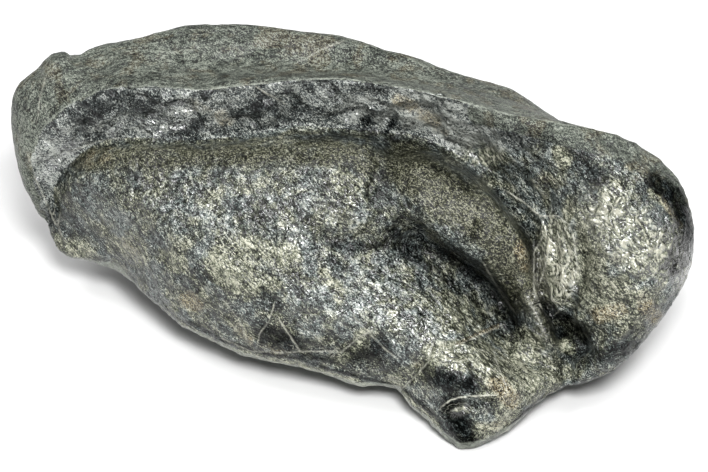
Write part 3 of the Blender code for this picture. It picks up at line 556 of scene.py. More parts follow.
def from_view(points):
    """Points of the drawing as they look from the eye, set at their depth, in the part's axes."""
    right, up, toward = view_axes()
    across, high, depth = np.array(points, float).T
    shrink = (EYE_DISTANCE - depth) / EYE_DISTANCE
    return np.outer(across * shrink, right) + np.outer(high * shrink, up) + np.outer(depth, toward)


def spline(points, steps, closed=False):
    """Centripetal Catmull-Rom through points (first axis), with this many steps per span."""
    count = len(points)
    if closed:
        before, after, after2 = np.roll(points, 1, 0), np.roll(points, -1, 0), np.roll(points, -2, 0)
    else:
        first = 2 * points[:1] - points[1:2]
        last = 2 * points[-1:] - points[-2:-1]
        padded = np.concatenate([first, points, last])
        before, after, after2 = padded[:-3], padded[2:-1], padded[3:]
        points = points[:-1]
        count -= 1

    def gap(a, b):
        return np.maximum(np.linalg.norm(b - a, axis=-1, keepdims=True), 1e-6) ** 0.5

    d0, d1, d2 = gap(before, points), gap(points, after), gap(after, after2)
    m1 = d1 * ((points - before) / d0 - (after - before) / (d0 + d1)) + (after - points)
    m2 = (after - points) + d1 * ((after2 - after) / d2 - (after2 - points) / (d1 + d2))
    rows = []
    for t in np.arange(steps) / steps:
        h = t * t * (3 - 2 * t)
        rows.append(
            points * (1 - h) + after * h + m1 * (t * (1 - t) ** 2) + m2 * (-t * t * (1 - t))
        )
    out = np.stack(rows, 1).reshape(count * steps, *points.shape[1:])
    return out if closed else np.concatenate([out, after[-1:]])


def evenly(points, count):
    """The line through points, resampled at even distances."""
    fine = spline(points, STEPS_ALONG_LINE)
    run = np.concatenate([[0], np.cumsum(np.linalg.norm(np.diff(fine, axis=0), axis=1))])
    at = np.linspace(0, run[-1], count)
    return np.stack([np.interp(at, run, fine[:, k]) for k in range(3)], 1)


def feature_lines():
    """Every feature line from corner to notch, in order round the body."""
    corner, notch = from_view([NEAR_LEFT_CORNER]), from_view([NOTCH])
    seen = [
        LOWER_EDGE, LOW_SLOPE, HIGH_SLOPE, GROOVE, LOBE_SHOULDER, ROLL_CREST, CREVICE, CHANNEL, BROKEN_BAND,
        UNDER_RIM, RIM, DISH, TOP_EDGE,
    ]
    hidden = [HIGH_BACK, LOW_BACK, UNDER_BACK, UNDER_FRONT]
    bodies = [from_view(line) for line in seen] + [np.array(line, float) for line in hidden]
    return np.stack([evenly(np.concatenate([corner, b, notch]), STATIONS) for b in bodies])


def lofted_skin(lines):
    """A closed mesh through the feature lines, and each point's (line number, share of the length)."""
    rings = spline(lines, STEPS_BETWEEN_LINES, closed=True)
    around, along = rings.shape[:2]
    mesh = bpy.data.meshes.new("ear_bone_skin")
    bm = bmesh.new()
    ends = [bm.verts.new(rings[0, 0] * MM), bm.verts.new(rings[0, -1] * MM)]
    grid = [[bm.verts.new(rings[i, j] * MM) for j in range(1, along - 1)] for i in range(around)]
    for i in range(around):
        this, following = grid[i], grid[(i + 1) % around]
        for j in range(along - 3):
            bm.faces.new((this[j], this[j + 1], following[j + 1], following[j]))
        bm.faces.new((ends[0], this[0], following[0]))
        bm.faces.new((following[-1], this[-1], ends[1]))
    bmesh.ops.recalc_face_normals(bm, faces=bm.faces[:])
    bm.to_mesh(mesh)
    bm.free()
    line, share = np.meshgrid(
        np.arange(around) / STEPS_BETWEEN_LINES, np.linspace(0, 1, along), indexing="ij"
    )
    return mesh, rings.reshape(-1, 3), np.stack([line.ravel(), share.ravel()], 1)


def places_on_loft(points, loft, places):
    """(line number, share of the length) of every point, from the nearest three points of the loft."""
    tree = KDTree(len(loft))
    for index, corner in enumerate(loft):
        tree.insert(corner, index)
    tree.balance()
    found = np.empty((len(points), 2))
    for k, point in enumerate(points):
        near = tree.find_n(point, 3)
        weight = np.array([1 / (hit[2] + 1e-3) for hit in near])
        at = places[[hit[1] for hit in near]]
        spread = at[:, 0].max() - at[:, 0].min()
        found[k] = at[0] if spread > 1 else weight @ at / weight.sum()
    return found


def nearness(points, line):
    """Distance of every flat point from a line of corner points, or from its only one."""
    best = np.full(len(points), np.inf)
    for a, b in zip(line[:-1] or line, line[1:] or line):
        a, b = np.array(a, float), np.array(b, float)
        run = b - a
        t = np.clip((points - a) @ run / max(run @ run, 1e-9), 0, 1)
        best = np.minimum(best, np.linalg.norm(points - a - t[:, None] * run, axis=1))
    return best


def relief(flat, facing, strokes):
    """Height that the strokes of one drawing add to the points that face it."""
    height = np.zeros(len(flat))
    for line, half_width, rise in strokes:
        across = np.clip(nearness(flat, line) / (STROKE_REACH * half_width), 0, 1)
        height += rise * (1 - across**2) ** 2
    return height * np.clip(facing / STROKE_FACING, 0, 1)


def smooth(low, high, value):
    """A soft step from 0 below low to 1 above high."""
    t = np.clip((value - low) / (high - low), 0, 1)
    return t * t * (3 - 2 * t)


def patches(flat, facing, strokes):
    """Strength of the strongest soft patch at each point that faces the drawing."""
    strength = np.zeros(len(flat))
    for line, half_width, amount in strokes:
        away = nearness(flat, line) / half_width
        strength = np.maximum(strength, amount * (1 - smooth(0.3, 1.75, away)))
    return strength * np.clip(facing / 0.2, 0, 1)


def lumps(points, size, offset, stretch=(1, 1, 1)):
    """Smooth noise from -1 to 1 with lumps of this size."""
    places = (points * np.array(stretch) + offset) / size
    return np.array([noise.noise(Vector(p)) for p in places])


def flakes(points, size, offset):
    """Height of flat flakes side by side, each leaning its own way."""
    rise = np.empty(len(points))
    for k, place in enumerate((points + offset) / size):
        centre = noise.voronoi(Vector(place))[1][0]
        rise[k] = (Vector(place) - centre).dot(noise.noise_vector(centre * 7.7))
    return rise * size


def creases(points, size, offset):
    """Crinkled folds from 0 in their troughs to 1 on their crests."""
    return 1 - np.minimum(2.2 * np.abs(lumps(points, size, offset)), 1)


def drawn_from_eye(points):
    """Where the points lie in the drawing, (across, up)."""
    right, up, toward = view_axes()
    look = EYE_DISTANCE / (EYE_DISTANCE - points @ toward)
    return np.stack([points @ right * look, points @ up * look], 1)


def worn(points, normals, look):
    """The skin's points (millimetres) with the lumps, hollows and swellings of the solid."""
    height = relief(drawn_from_eye(points), normals @ view_axes()[2], SEEN_RELIEF)
    height += relief(points[:, [0, 2]], normals[:, 1], BACK_RELIEF)
    height += relief(points[:, [0, 1]], -normals[:, 2], UNDER_RELIEF)
    for size, share in LUMPS:
        height += share * look.lump_height / MM * lumps(points, size, LUMP_OFFSET)
    return points + height[:, None] * normals


def read_out(mesh, what):
    """The points or the normals of a mesh, one row each."""
    values = np.empty(len(mesh.vertices) * 3)
    mesh.vertices.foreach_get(what, values)
    return values.reshape(-1, 3)


def applied(obj):
    """A plain mesh of the object as its modifiers leave it."""
    graph = bpy.context.evaluated_depsgraph_get()
    mesh = bpy.data.meshes.new_from_object(obj.evaluated_get(graph))
    obj.modifiers.clear()
    obj.data = mesh
    return mesh


def soften_hidden_side(obj, passes):
    """Rounds off what faces away from the eye, where the long lines of the bone run together."""
    away = -read_out(obj.data, "normal") @ view_axes()[2]
    away = np.clip((away - ROUNDING_START) / (ROUNDING_FULL - ROUNDING_START), 0, 1)
    group = obj.vertex_groups.new(name="hidden_side")
    for index, weight in enumerate(away):
        if weight > 0:
            group.add([index], float(weight), "REPLACE")
    rounding = obj.modifiers.new("round_hidden_side", "SMOOTH")
    rounding.vertex_group = group.name
    rounding.iterations = passes


def keep(mesh, name, values):
    """Stores one number for each point under this name."""
    attribute = mesh.attributes.new(name, "FLOAT", "POINT")
    attribute.data.foreach_set("value", np.asarray(values, np.float32))


def beside(flat, line):
    """Distance of every flat point from a drawn line, less than 0 on its right-hand side."""
    nearest = nearness(flat, line)
    side = np.ones(len(flat))
    for a, b in zip(line[:-1], line[1:]):
        run = np.subtract(b, a)
        here = np.isclose(nearness(flat, [a, b]), nearest)
        turn = run[0] * (flat[:, 1] - a[1]) - run[1] * (flat[:, 0] - a[0])
        side[here] = np.where(turn[here] < 0, -1, 1)
    return nearest * side


class EARBONE_OT_bone(Operator):
    """Lofts, wears and finishes the ear bone"""

    bl_idname = "ear_bone.bone"
    bl_label = "Ear Bone"

    def execute(self, context):
        look = context.scene.bone_look
        mesh, loft, places = lofted_skin(feature_lines())
        bone = bpy.data.objects.new("ear_bone_skin", mesh)
        context.scene.collection.objects.link(bone)
        rebuild = bone.modifiers.new("even_grid", "REMESH")
        rebuild.mode = "VOXEL"
        rebuild.voxel_size = look.grid
        soften = bone.modifiers.new("soften", "SMOOTH")
        soften.iterations = 6
        applied(bone)
        soften_hidden_side(bone, round(70 * (0.55 * MM / look.grid) ** 2))
        mesh = applied(bone)
        points, normals = read_out(mesh, "co") / MM, read_out(mesh, "normal")
        where = places_on_loft(points, loft, places)
        points = worn(points, normals, look)
        mesh.vertices.foreach_set("co", (points * MM).ravel())
        mesh.update()
        normals = read_out(mesh, "normal")
        points = detailed(points, normals, where, look)
        points[:, 2] = np.maximum(points[:, 2], -DRAWING_CENTRE[2])
        paint(mesh, points, normals, where)
        mesh.vertices.foreach_set("co", ((points + DRAWING_CENTRE) * MM).ravel())
        mesh.update()
        mesh.shade_smooth()
        mesh.materials.clear()
        mesh.materials.append(petrified_bone(look))
        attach(bone, "root")
        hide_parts("ear_bone")
        return {"FINISHED"}


def detailed(points, normals, where, look):
    """The worn points with chips, cracks, pits and streaks."""
    seen = drawn_from_eye(points)
    facing = normals @ view_axes()[2]
    line, share = where.T
    height = relief(seen, facing, FINE_RELIEF)
    band = smooth(6.2, 6.8, line) * smooth(10.0, 9.6, line) * smooth(0.72, 0.6, share)
    bulb = smooth(6.9, 8, line) * smooth(11, 10, line) * smooth(0.58, 0.68, share)
    slope = smooth(4.4, 3.2, line) + smooth(16.5, 17, line)
    plate = smooth(10, 10.3, line) * smooth(17, 16, line)
    hidden = smooth(11.6, 12.6, line) * smooth(16.6, 16.0, line)
    broken = band > 0.01
    for size, steepness in BAND_FLAKES:
        height[broken] += steepness * band[broken] * flakes(points[broken], size, (3.1, 8.7, 5.5))
    bulb *= np.clip(facing / 0.5, 0, 1)
    height += bulb * 0.4 * creases(points, 2.8, (9, 1, 4)) + bulb * 0.2 * creases(points, 1.5, (3, 1, 8))
    height += slope * 0.2 * lumps(points, 2.4, (1, 7, 2)) + slope * 0.18 * lumps(points, 1.2, (5, 3, 3))
    height += plate * 0.16 * lumps(points, 3.0, (6, 6, 1), (0.35, 1, 1))
    height += plate * 0.06 * lumps(points, 1.2, (2, 5, 1), (0.4, 1, 1))
    height += hidden * 0.5 * lumps(points, 6.5, (2, 9, 4)) + hidden * 0.2 * creases(points, 4.0, (7, 2, 5))
    height += hidden * 0.12 * lumps(points, 1.7, (3, 8, 6), (0.5, 1, 1)) + 0.07 * lumps(points, 0.9, (4, 4, 4))
    return points + height[:, None] * normals


def paint(mesh, points, normals, where):
    """Stores where each finish, and each patch of painted light and shade, lies on the skin."""
    seen = drawn_from_eye(points)
    facing = normals @ view_axes()[2]
    line, share = where.T
    wander = 0.22 * lumps(points, 2.2, (8, 2, 6))
    band = smooth(5.9, 6.2, line) * smooth(10.0, 9.9, line + wander) * smooth(0.72, 0.6, share)
    skin = smooth(9.9, 10.03, line + wander) * smooth(17, 16.6, line)
    skin = np.maximum(skin, patches(seen, facing, SKIN))
    # The edge mark lies on the rim and along the lower edge; along the lower edge it paints the reflection of the
    # table.
    edge = np.exp(-(((line - 10.04) / 0.1) ** 2)) + smooth(0.3, 0.15, line) + smooth(16.6, 16.8, line)
    keep(mesh, "band", band)
    keep(mesh, "skin", skin)
    keep(mesh, "edge", np.clip(edge, 0, 1))
    keep(mesh, "lip", np.exp(-(((line - 6.4) / 0.35) ** 2)))
    keep(mesh, "along", 97 * share)
    keep(mesh, "across", 3.2 * line)
    # Dark patches hold painted shade, and pale and shiny patches hold painted light, beside the stone's own marks.
    for name, strokes in (
        ("glossy", GLOSS_AND_PAINTED_SHEEN), ("dark", DARK_FILM_AND_PAINTED_SHADE), ("pale", PALE_AND_PAINTED_LIGHT), ("ochre", OCHRE), ("olive", OLIVE)
    ):
        keep(mesh, name, patches(seen, facing, strokes))
    vein = np.full(len(points), 9.0)
    clear = np.zeros(len(points))
    for drawn, strength in VEINS:
        distance = beside(seen, drawn)
        nearer = np.abs(distance) < np.abs(vein)
        vein = np.where(nearer, distance, vein)
        clear = np.where(nearer, strength, clear)
    keep(mesh, "vein", vein)
    keep(mesh, "vein_here", clear * (np.abs(vein) < VEIN_REACH) * np.clip(facing / 0.2, 0, 1))


class Recipe:
    """The nodes of a material or a sky, added one after another."""

    def __init__(self, tree, shader):
        self.tree = tree
        self.shader = tree.nodes[shader]

    def add(self, kind, links=(), **settings):
        """A node with its settings, and its inputs linked to sockets or set to values."""
        made = self.tree.nodes.new(kind)
        for name, value in settings.items():
            setattr(made, name, value)
        for name, source in dict(links).items():
            self.put(made.inputs[name], source)
        return made

    def put(self, socket, source):
        if isinstance(source, bpy.types.NodeSocket):
            self.tree.links.new(source, socket)
        else:
            socket.default_value = source

    def stored(self, name):
        return self.add("ShaderNodeAttribute", attribute_name=name).outputs["Fac"]

    def math(self, operation, first, second=0.0, clamp=False):
        return self.add(
            "ShaderNodeMath", {0: first, 1: second}, operation=operation, use_clamp=clamp
        ).outputs[0]

    def ramp(self, value, low, high, to_low=0.0, to_high=1.0):
        """A smooth change from to_low to to_high as value goes from low to high."""
        made = self.add(
            "ShaderNodeMapRange",
            {"Value": value, "From Min": low, "From Max": high, "To Min": to_low, "To Max": to_high},
            interpolation_type="SMOOTHSTEP",
        )
        return made.outputs["Result"]

    def colours(self, value, stops):
        """Colour read from a row of stops, each (place, colour)."""
        made = self.add("ShaderNodeValToRGB", {"Fac": value})
        row = made.color_ramp.elements
        for _ in stops[2:]:
            row.new(0.5)
        for stop, (place, colour) in zip(row, stops):
            stop.position = place
            stop.color = colour
        return made.outputs["Color"]

    def mix(self, share, first, second, blend="MIX"):
        """Colour first turned into second by share."""
        made = self.add("ShaderNodeMix", data_type="RGBA", blend_type=blend)
        self.put(made.inputs[0], share)
        self.put(made.inputs[6], first)
        self.put(made.inputs[7], second)
        return made.outputs[2]

    def noise(self, places, scale, detail=3.0, roughness=0.55, distortion=0.0):
        return self.add(
            "ShaderNodeTexNoise",
            {
                "Vector": places, "Scale": scale, "Detail": detail, "Roughness": roughness,
                "Distortion": distortion,
            },
        ).outputs["Fac"]

    def cells(self, places, scale):
        """Distance from the middle of each grain, a grey of its own for it, and its own colour."""
        made = self.add("ShaderNodeTexVoronoi", {"Vector": places, "Scale": scale})
        split = self.add("ShaderNodeSeparateXYZ", {0: made.outputs["Color"]})
        return made.outputs["Distance"], split.outputs["X"], made.outputs["Color"]

    def leaning(self, normal, tint, amount):
        """A normal that leans one way on each grain, by the grain's own colour."""
        lean = self.add(
            "ShaderNodeVectorMath", {0: tint, 1: (0.5, 0.5, 0.5)}, operation="SUBTRACT"
        ).outputs["Vector"]
        lean = self.add("ShaderNodeVectorMath", {0: lean, "Scale": amount}, operation="SCALE").outputs["Vector"]
        lean = self.add("ShaderNodeVectorMath", {0: normal, 1: lean}, operation="ADD").outputs["Vector"]
        return self.add("ShaderNodeVectorMath", {0: lean}, operation="NORMALIZE").outputs["Vector"]

    def streaks(self, places, direction, squeeze):
        """Places squeezed along a direction, so that a pattern read there is drawn out along it."""
        along = self.add(
            "ShaderNodeVectorMath", {0: places, 1: direction}, operation="DOT_PRODUCT"
        ).outputs["Value"]
        shift = self.add(
            "ShaderNodeVectorMath",
            {0: direction, "Scale": self.math("MULTIPLY", along, squeeze - 1.0)},
            operation="SCALE",
        ).outputs["Vector"]
        return self.add("ShaderNodeVectorMath", {0: places, 1: shift}, operation="ADD").outputs["Vector"]

    def bump(self, height, distance, strength=1.0, normal=None):
        links = {"Height": height, "Distance": distance, "Strength": strength}
        if normal is not None:
            links["Normal"] = normal
        return self.add("ShaderNodeBump", links).outputs["Normal"]


def solid(colour):
    return (*colour, 1.0)


def new_material(name):
    """A new material and the recipe of its nodes."""
    material = bpy.data.materials.new(name)
    material.use_nodes = True
    return material, Recipe(material.node_tree, "Principled BSDF")


def shades(colour, palest):
    """Stops of one finish, from its blackest grain through its own colour to its palest grain."""
    def scaled(times):
        return solid(c * times for c in colour)
    return [
        (0.08, scaled(0.05)), (0.3, scaled(0.4)), (0.5, scaled(1.0)), (0.7, scaled(1.8)), (0.95, solid(palest))
    ]


def petrified_bone(look):
    """Mottled, grained stone: matte skin, dark glassy band, speckled slope, olive roll."""
    material, r = new_material("petrified_bone")
    p = patterns(r, look)
    colour = stone_colour(r, p, look)
    olive = r.colours(shifted(r, p.grained, (p.pale, 0.15), (p.dark, -0.12)), shades(look.olive_colour, look.olive_grain))
    colour = r.mix(here(r, p.olive, p.mottles, 1.2, 0.25, 0.9), colour, olive)
    # On the band, the pale and shiny patches paint the sheen of its glassy facets, and the dark patches paint shade
    # as well as dark film.
    band_tone = shifted(r, p.chipped, (p.pale, 0.42), (p.glossy, 0.25), (p.dark, -0.25), (p.ochre, 0.15))
    band = r.colours(band_tone, shades(look.band_colour, look.silver_colour))
    colour = r.mix(here(r, p.band, p.flecks, 0.5, 0.35, 0.65), colour, band)
    colour = r.mix(here(r, p.ochre, p.mottles, 1.6, 0.35, 1.1, 0.75), colour, rust(r, p, look))
    skin_here = here(r, p.skin, p.flecks, 0.6, 0.4, 0.6)
    colour = r.mix(skin_here, colour, skin_colour(r, p, look))
    # Painted shade and the stone's dark film, multiplied in where the dark patches lie.
    colour = r.mix(here(r, shifted(r, p.dark, (p.pale, -0.5)), p.flecks, 1.1, 0.2, 1.0), colour, solid(look.dark_film_and_shade_colour), "MULTIPLY")
    # Pale worn rim, and painted reflection of the table along the lower edge.
    colour = r.mix(here(r, p.edge, p.wisps, 1.6, 0.5, 1.2, 0.7), colour, solid(look.worn_edge_and_reflection_colour))
    colour = r.mix(r.math("MULTIPLY", p.veins, 0.6, clamp=True), colour, solid(look.vein_colour))
    r.put(r.shader.inputs["Base Color"], colour)
    shine = here(r, p.glossy, p.flecks, 0.9, 0.0, 0.9)
    rough = shifted(r, 0.26, (shine, -0.1), (skin_here, 0.22), (p.olive, 0.2), (p.lip, 0.2), (p.band, 0.08), (centred(r, p.mottles), 0.3))
    r.put(r.shader.inputs["Roughness"], r.math("MAXIMUM", rough, 0.12))
    flaked, grained = broken_normals(r, p, shine, skin_here, look)
    r.put(r.shader.inputs["Normal"], grained)
    r.put(r.shader.inputs["Coat Weight"], r.math("MULTIPLY", shine, 0.8))
    r.put(r.shader.inputs["Coat Normal"], flaked)
    r.shader.inputs["Coat Roughness"].default_value = 0.12
    r.shader.inputs["IOR"].default_value = 1.6
    r.put(r.shader.inputs["Specular IOR Level"], shifted(r, 0.36, (shine, 0.36), (p.dark, -0.3), (skin_here, -0.05), (p.olive, -0.12), (p.lip, -0.25)))
    return material


def patterns(r, look):
    """The patterns and the stored masks that the finishes share."""
    p = SimpleNamespace()
    for name in ("band", "skin", "edge", "lip", "glossy", "dark", "pale", "ochre", "olive"):
        setattr(p, name, r.stored(name))
    place = r.add("ShaderNodeTexCoord").outputs["Object"]
    mm = r.add("ShaderNodeVectorMath", {0: place, "Scale": 1 / MM}, operation="SCALE").outputs["Vector"]
    right, up, toward = view_axes()
    streaked = r.streaks(mm, tuple(0.72 * right - 0.69 * up), 0.6)
    drawn_out = r.streaks(mm, tuple(0.66 * right - 0.75 * up), 0.3)
    along = r.math("MULTIPLY", r.stored("along"), 0.25)
    wound = r.add("ShaderNodeCombineXYZ", {"X": along, "Y": r.stored("across")}).outputs["Vector"]
    p.clouds = r.noise(mm, 0.14, 4.0, 0.6, 0.5)
    p.hue = r.noise(mm, 0.33, 4.0, 0.6, 0.4)
    p.mottles = r.noise(mm, 0.5, 5.0, 0.62, 0.6)
    p.flecks = r.noise(streaked, 1.3, 4.0, 0.65)
    p.wisps = r.noise(wound, 1.6, 5.0, 0.7, 1.1)
    loose = r.add(
        "ShaderNodeTexNoise", {"Vector": mm, "Scale": 2.2, "Detail": 2.0}
    ).outputs["Color"]
    shaken = r.add(
        "ShaderNodeVectorMath", {0: loose, 1: (0.5, 0.5, 0.5), 2: streaked}, operation="MULTIPLY_ADD"
    ).outputs["Vector"]
    p.grain_edge, p.grain_tint, p.grain_colour = r.cells(shaken, MM / look.grain_size)
    p.fine_edge, p.fine_tint, p.fine_colour = r.cells(shaken, 2.0 * MM / look.grain_size)
    p.flake_edge, p.flake_tint, p.flake_colour = r.cells(shaken, MM / look.flake_size)
    p.chip_edge, p.chip_tint = r.cells(shaken, 1.9 * MM / look.flake_size)[:2]
    p.slab_colour = r.cells(shaken, 0.42 * MM / look.flake_size)[2]
    p.cuts = squiggles(r, r.noise(drawn_out, 1.3, 2.0, 0.55, 0.8), 0.075)
    p.folds = r.noise(mm, 0.5, 1.0, 0.4)
    p.dimples = r.noise(streaked, 1.4, 1.0, 0.4)
    p.crinkles = r.math("ABSOLUTE", centred(r, r.noise(mm, 0.7, 1.0, 0.5, 0.9)))
    p.skin_cuts = squiggles(r, r.noise(wound, 1.9, 2.0, 0.55, 0.8), 0.1)
    p.skin_lines = squiggles(r, r.noise(wound, 1.1, 3.0, 0.6, 1.5), 0.05)
    p.fine_cuts = squiggles(r, r.noise(streaked, 2.4, 1.0, 0.5, 0.5), 0.11)
    p.speckle = blend(r, (p.grain_edge, -0.15), (p.fine_tint, 1.1), (p.fine_edge, -1.0))
    p.grained = blend(r, (p.speckle, 1.25), (p.clouds, 0.35), (p.mottles, 0.3), (p.flecks, 0.25))
    p.grained = shifted(r, p.grained, (p.cuts, -0.2), (p.fine_cuts, -0.26), (1.0, 0.07))
    p.mottled = blend(
        r, (p.speckle, 0.95), (p.chip_tint, 0.3), (p.chip_edge, -0.4), (p.clouds, 0.6), (p.mottles, 0.8), (p.flecks, 0.25)
    )
    p.mottled = shifted(r, p.mottled, (p.cuts, -0.42), (p.fine_cuts, -0.3), (1.0, 0.095))
    p.chipped = blend(r, (p.speckle, 1.0), (p.clouds, 0.6), (p.mottles, 0.9), (p.flake_tint, 0.5), (p.flecks, 0.5))
    off_line = r.math("ABSOLUTE", r.math("ADD", r.stored("vein"), r.math("MULTIPLY", centred(r, p.flecks), 0.5)))
    p.veins = r.math("MULTIPLY", r.ramp(off_line, 0.03, 0.2, 1.0, 0.0), r.stored("vein_here"))
    p.veins = r.math("MULTIPLY", p.veins, r.ramp(p.flecks, 0.4, 0.55, 0.35, 1.0))
    return p


def squiggles(r, pattern, width):
    """Thin wandering lines where a pattern crosses its middle."""
    return r.ramp(r.math("ABSOLUTE", centred(r, pattern)), 0.0, width, 1.0, 0.0)


def stone_colour(r, p, look):
    """Blue-grey stone speckled with silver, and green-grey stone speckled with cream."""
    # Crests of the crinkles in the shiny patches are painted highlights; the pale, shiny and dark patches paint light
    # and shade into the tone as well as the stone's own pale and dark marks.
    crests = r.math("MULTIPLY", p.glossy, shifted(r, p.crinkles, (1.0, -0.08)))
    calmed = r.math("MULTIPLY", shifted(r, p.glossy, (p.pale, 0.6)), centred(r, p.speckle))
    tone = shifted(r, p.mottled, (p.pale, 0.3), (p.glossy, 0.1), (p.dark, -0.25), (crests, 3.4), (calmed, -0.55))
    cool = r.colours(tone, shades(look.cool_colour, look.silver_colour))
    warm = r.colours(tone, shades(look.warm_colour, look.cream_colour))
    return r.mix(r.ramp(shifted(r, p.hue, (p.pale, 0.3), (p.glossy, 0.03)), 0.4, 0.64), cool, warm)


def skin_colour(r, p, look):
    """Matte green-grey skin with drawn-out wisps and brown stains."""
    tone = blend(
        r, (p.clouds, 0.55), (p.wisps, 0.75), (p.mottles, 0.3), (p.chip_tint, 0.12), (p.speckle, 1.0), (p.skin_lines, 0.2),
    )
    # The dark and pale patches bring painted shade and painted light onto the skin where they fall, as well as its
    # own marks.
    tone = shifted(r, tone, (p.skin_cuts, -0.3), (1.0, 0.16), (p.dark, -0.2), (p.pale, 0.22), (p.edge, 0.14))
    skin = r.colours(tone, shades(look.skin_colour, look.skin_grain))
    stain = r.colours(tone, shades(look.skin_stain, look.skin_grain))
    return r.mix(r.ramp(shifted(r, p.hue, (p.ochre, 0.3)), 0.5, 0.64, 0, 0.8), skin, stain)


def rust(r, p, look):
    return r.colours(p.grained, shades(look.ochre_colour, look.cream_colour))


def broken_normals(r, p, shine, skin_here, look):
    """The skin with its glassy flakes and crinkles, and the same with its fine grain."""
    outward = r.add("ShaderNodeNewGeometry").outputs["Normal"]
    flaked = r.leaning(outward, p.flake_colour, shifted(r, 0.03, (shine, 0.15), (p.band, 0.14)))
    flaked = r.leaning(flaked, p.slab_colour, shifted(r, 0.0, (shine, 0.1), (p.band, 0.3)))
    gentle = shifted(r, 1.0, (skin_here, -0.4), (p.band, -0.55), (p.olive, -0.4))
    folds = blend(r, (p.folds, 2.4), (p.dimples, 1.0))
    crinkled = r.bump(folds, look.fold_height, gentle, flaked)
    gentle = shifted(r, 0.32, (shine, 0.68), (skin_here, -0.2), (p.band, -0.25), (p.olive, -0.2))
    crinkled = r.bump(p.crinkles, look.fold_height * 2, r.math("MAXIMUM", gentle, 0.05), crinkled)
    grained = r.leaning(crinkled, p.fine_colour, 0.08)
    height = blend(r, (p.grain_edge, -0.25), (p.cuts, -0.25), (p.fine_cuts, -0.2))
    return crinkled, r.bump(height, look.grain_height, shifted(r, 1.0, (p.band, -0.5)), grained)


def centred(r, pattern):
    return r.math("SUBTRACT", pattern, 0.5)


def blend(r, *parts):
    """Sum of patterns about their middle, each times its weight, about one half."""
    return shifted(r, 0.5, *((centred(r, pattern), weight) for pattern, weight in parts))


def shifted(r, tone, *parts):
    """A tone with masks added, each times its weight."""
    for mask, weight in parts:
        tone = r.math("ADD", tone, r.math("MULTIPLY", mask, weight))
    return tone


def here(r, mask, pattern, wander, low, high, most=1.0):
    """A patch whose edge wanders with a pattern."""
    loose = shifted(r, mask, (centred(r, pattern), wander))
    return r.ramp(loose, low, high, 0.0, most)


class EARBONE_OT_stage(Operator):
    """Adds the pale table, the soft light and the camera"""

    bl_idname = "ear_bone.stage"
    bl_label = "Stage"

    def execute(self, context):
        look = context.scene.stage_look
        centre = Vector(DRAWING_CENTRE) * MM
        table(look)
        sky(context.scene, look)
        soft_box("front_box", (0.06, 0.15, 0.6), look.box_size, look.front_power)
        soft_box("left_box", (-0.3, 0.45, 0.32), look.box_size, look.left_power)
        soft_box("right_box", (0.3, 0.42, 0.36), look.box_size, look.right_power)
        toward = Vector(view_axes()[2])
        camera = bpy.data.objects.new("camera", bpy.data.cameras.new("camera"))
        context.scene.collection.objects.link(camera)
        camera.data.sensor_width = 36.0
        camera.data.lens = 36.0 * EYE_DISTANCE / VIEW_WIDTH
        camera.data.clip_start = 0.01
        camera.location = centre + toward * EYE_DISTANCE * MM
        camera.rotation_mode = "QUATERNION"
        camera.rotation_quaternion = (-toward).to_track_quat("-Z", "Y")
        context.scene.camera = camera
        return {"FINISHED"}


def table(look):
    """A wide pale table top."""
    half = look.floor_size / 2
    mesh = bpy.data.meshes.new("table_top")
    mesh.from_pydata([(-half, -half, 0), (half, -half, 0), (half, half, 0), (-half, half, 0)], [], [(0, 1, 2, 3)])
    top = bpy.data.objects.new("table_top", mesh)
    bpy.context.scene.collection.objects.link(top)
    material, r = new_material("pale_table")
    r.shader.inputs["Base Color"].default_value = solid(look.floor_colour)
    r.shader.inputs["Roughness"].default_value = 0.9
    r.shader.inputs["Specular IOR Level"].default_value = 0.1
    mesh.materials.append(material)


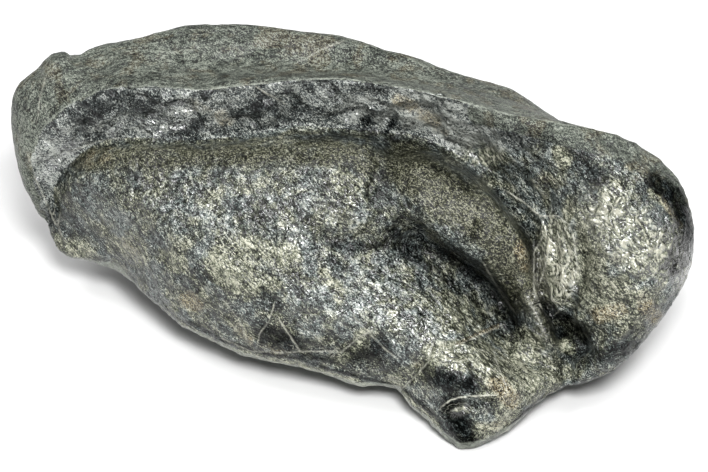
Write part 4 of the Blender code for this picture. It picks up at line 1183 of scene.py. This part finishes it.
def sky(scene, look):
    """White light of many small lamps, weaker towards the table; seen by the camera it is plain white."""
    scene.world = bpy.data.worlds.new("studio")
    scene.world.use_nodes = True
    r = Recipe(scene.world.node_tree, "Background")
    direction = r.add("ShaderNodeTexCoord").outputs["Generated"]
    height = r.add("ShaderNodeSeparateXYZ", {0: direction}).outputs["Z"]
    light = r.ramp(height, 0.3, 1.0, look.horizon, look.zenith)
    lamp = r.ramp(r.cells(direction, 4.0)[0], 0.26, 0.34, look.lamps, 0.4)
    light = r.math("MULTIPLY", light, lamp)
    seen = r.add("ShaderNodeLightPath").outputs["Is Camera Ray"]
    r.put(r.shader.inputs["Strength"], r.math("MAXIMUM", light, seen))
    r.shader.inputs["Color"].default_value = (1, 1, 1, 1)
    scene.view_settings.view_transform = "Standard"


def soft_box(name, place, size, power):
    """A square area light that looks at the bone, placed as drawn: (across, up, towards the eye), metres."""
    light = bpy.data.lights.new(name, "AREA")
    light.energy = power
    light.size = size
    box = bpy.data.objects.new(name, light)
    bpy.context.scene.collection.objects.link(box)
    centre = Vector(DRAWING_CENTRE) * MM
    box.location = centre + sum((Vector(axis) * length for axis, length in zip(view_axes(), place)), Vector())
    aim = centre - box.location
    box.rotation_euler = aim.to_track_quat("-Z", "Y").to_euler()
    box.visible_camera = False


class EARBONE_PT_panel(Panel):
    """Lists the pieces in the sidebar."""

    bl_idname = "EARBONE_PT_panel"
    bl_label = "Ear Bone"
    bl_space_type = "VIEW_3D"
    bl_region_type = "UI"
    bl_category = "Ear Bone"

    def draw(self, context):
        column = self.layout.column()
        for step in (EARBONE_OT_bone, EARBONE_OT_stage):
            column.operator(step.bl_idname)
        for group in (context.scene.bone_look, context.scene.stage_look):
            for name in group.__annotations__:
                column.prop(group, name)


CLASSES = (BoneLook, StageLook, EARBONE_OT_bone, EARBONE_OT_stage, EARBONE_PT_panel)


def register():
    for made in CLASSES:
        bpy.utils.register_class(made)
    bpy.types.Scene.bone_look = PointerProperty(type=BoneLook)
    bpy.types.Scene.stage_look = PointerProperty(type=StageLook)


def unregister():
    del bpy.types.Scene.stage_look
    del bpy.types.Scene.bone_look
    for made in reversed(CLASSES):
        bpy.utils.unregister_class(made)


def main():
    for name in ("Cube", "Light", "Camera"):
        if name in bpy.data.objects:
            bpy.data.objects.remove(bpy.data.objects[name])
    register()
    bpy.ops.ear_bone.bone()
    bpy.ops.ear_bone.stage()


if __name__ == "__main__":
    main()
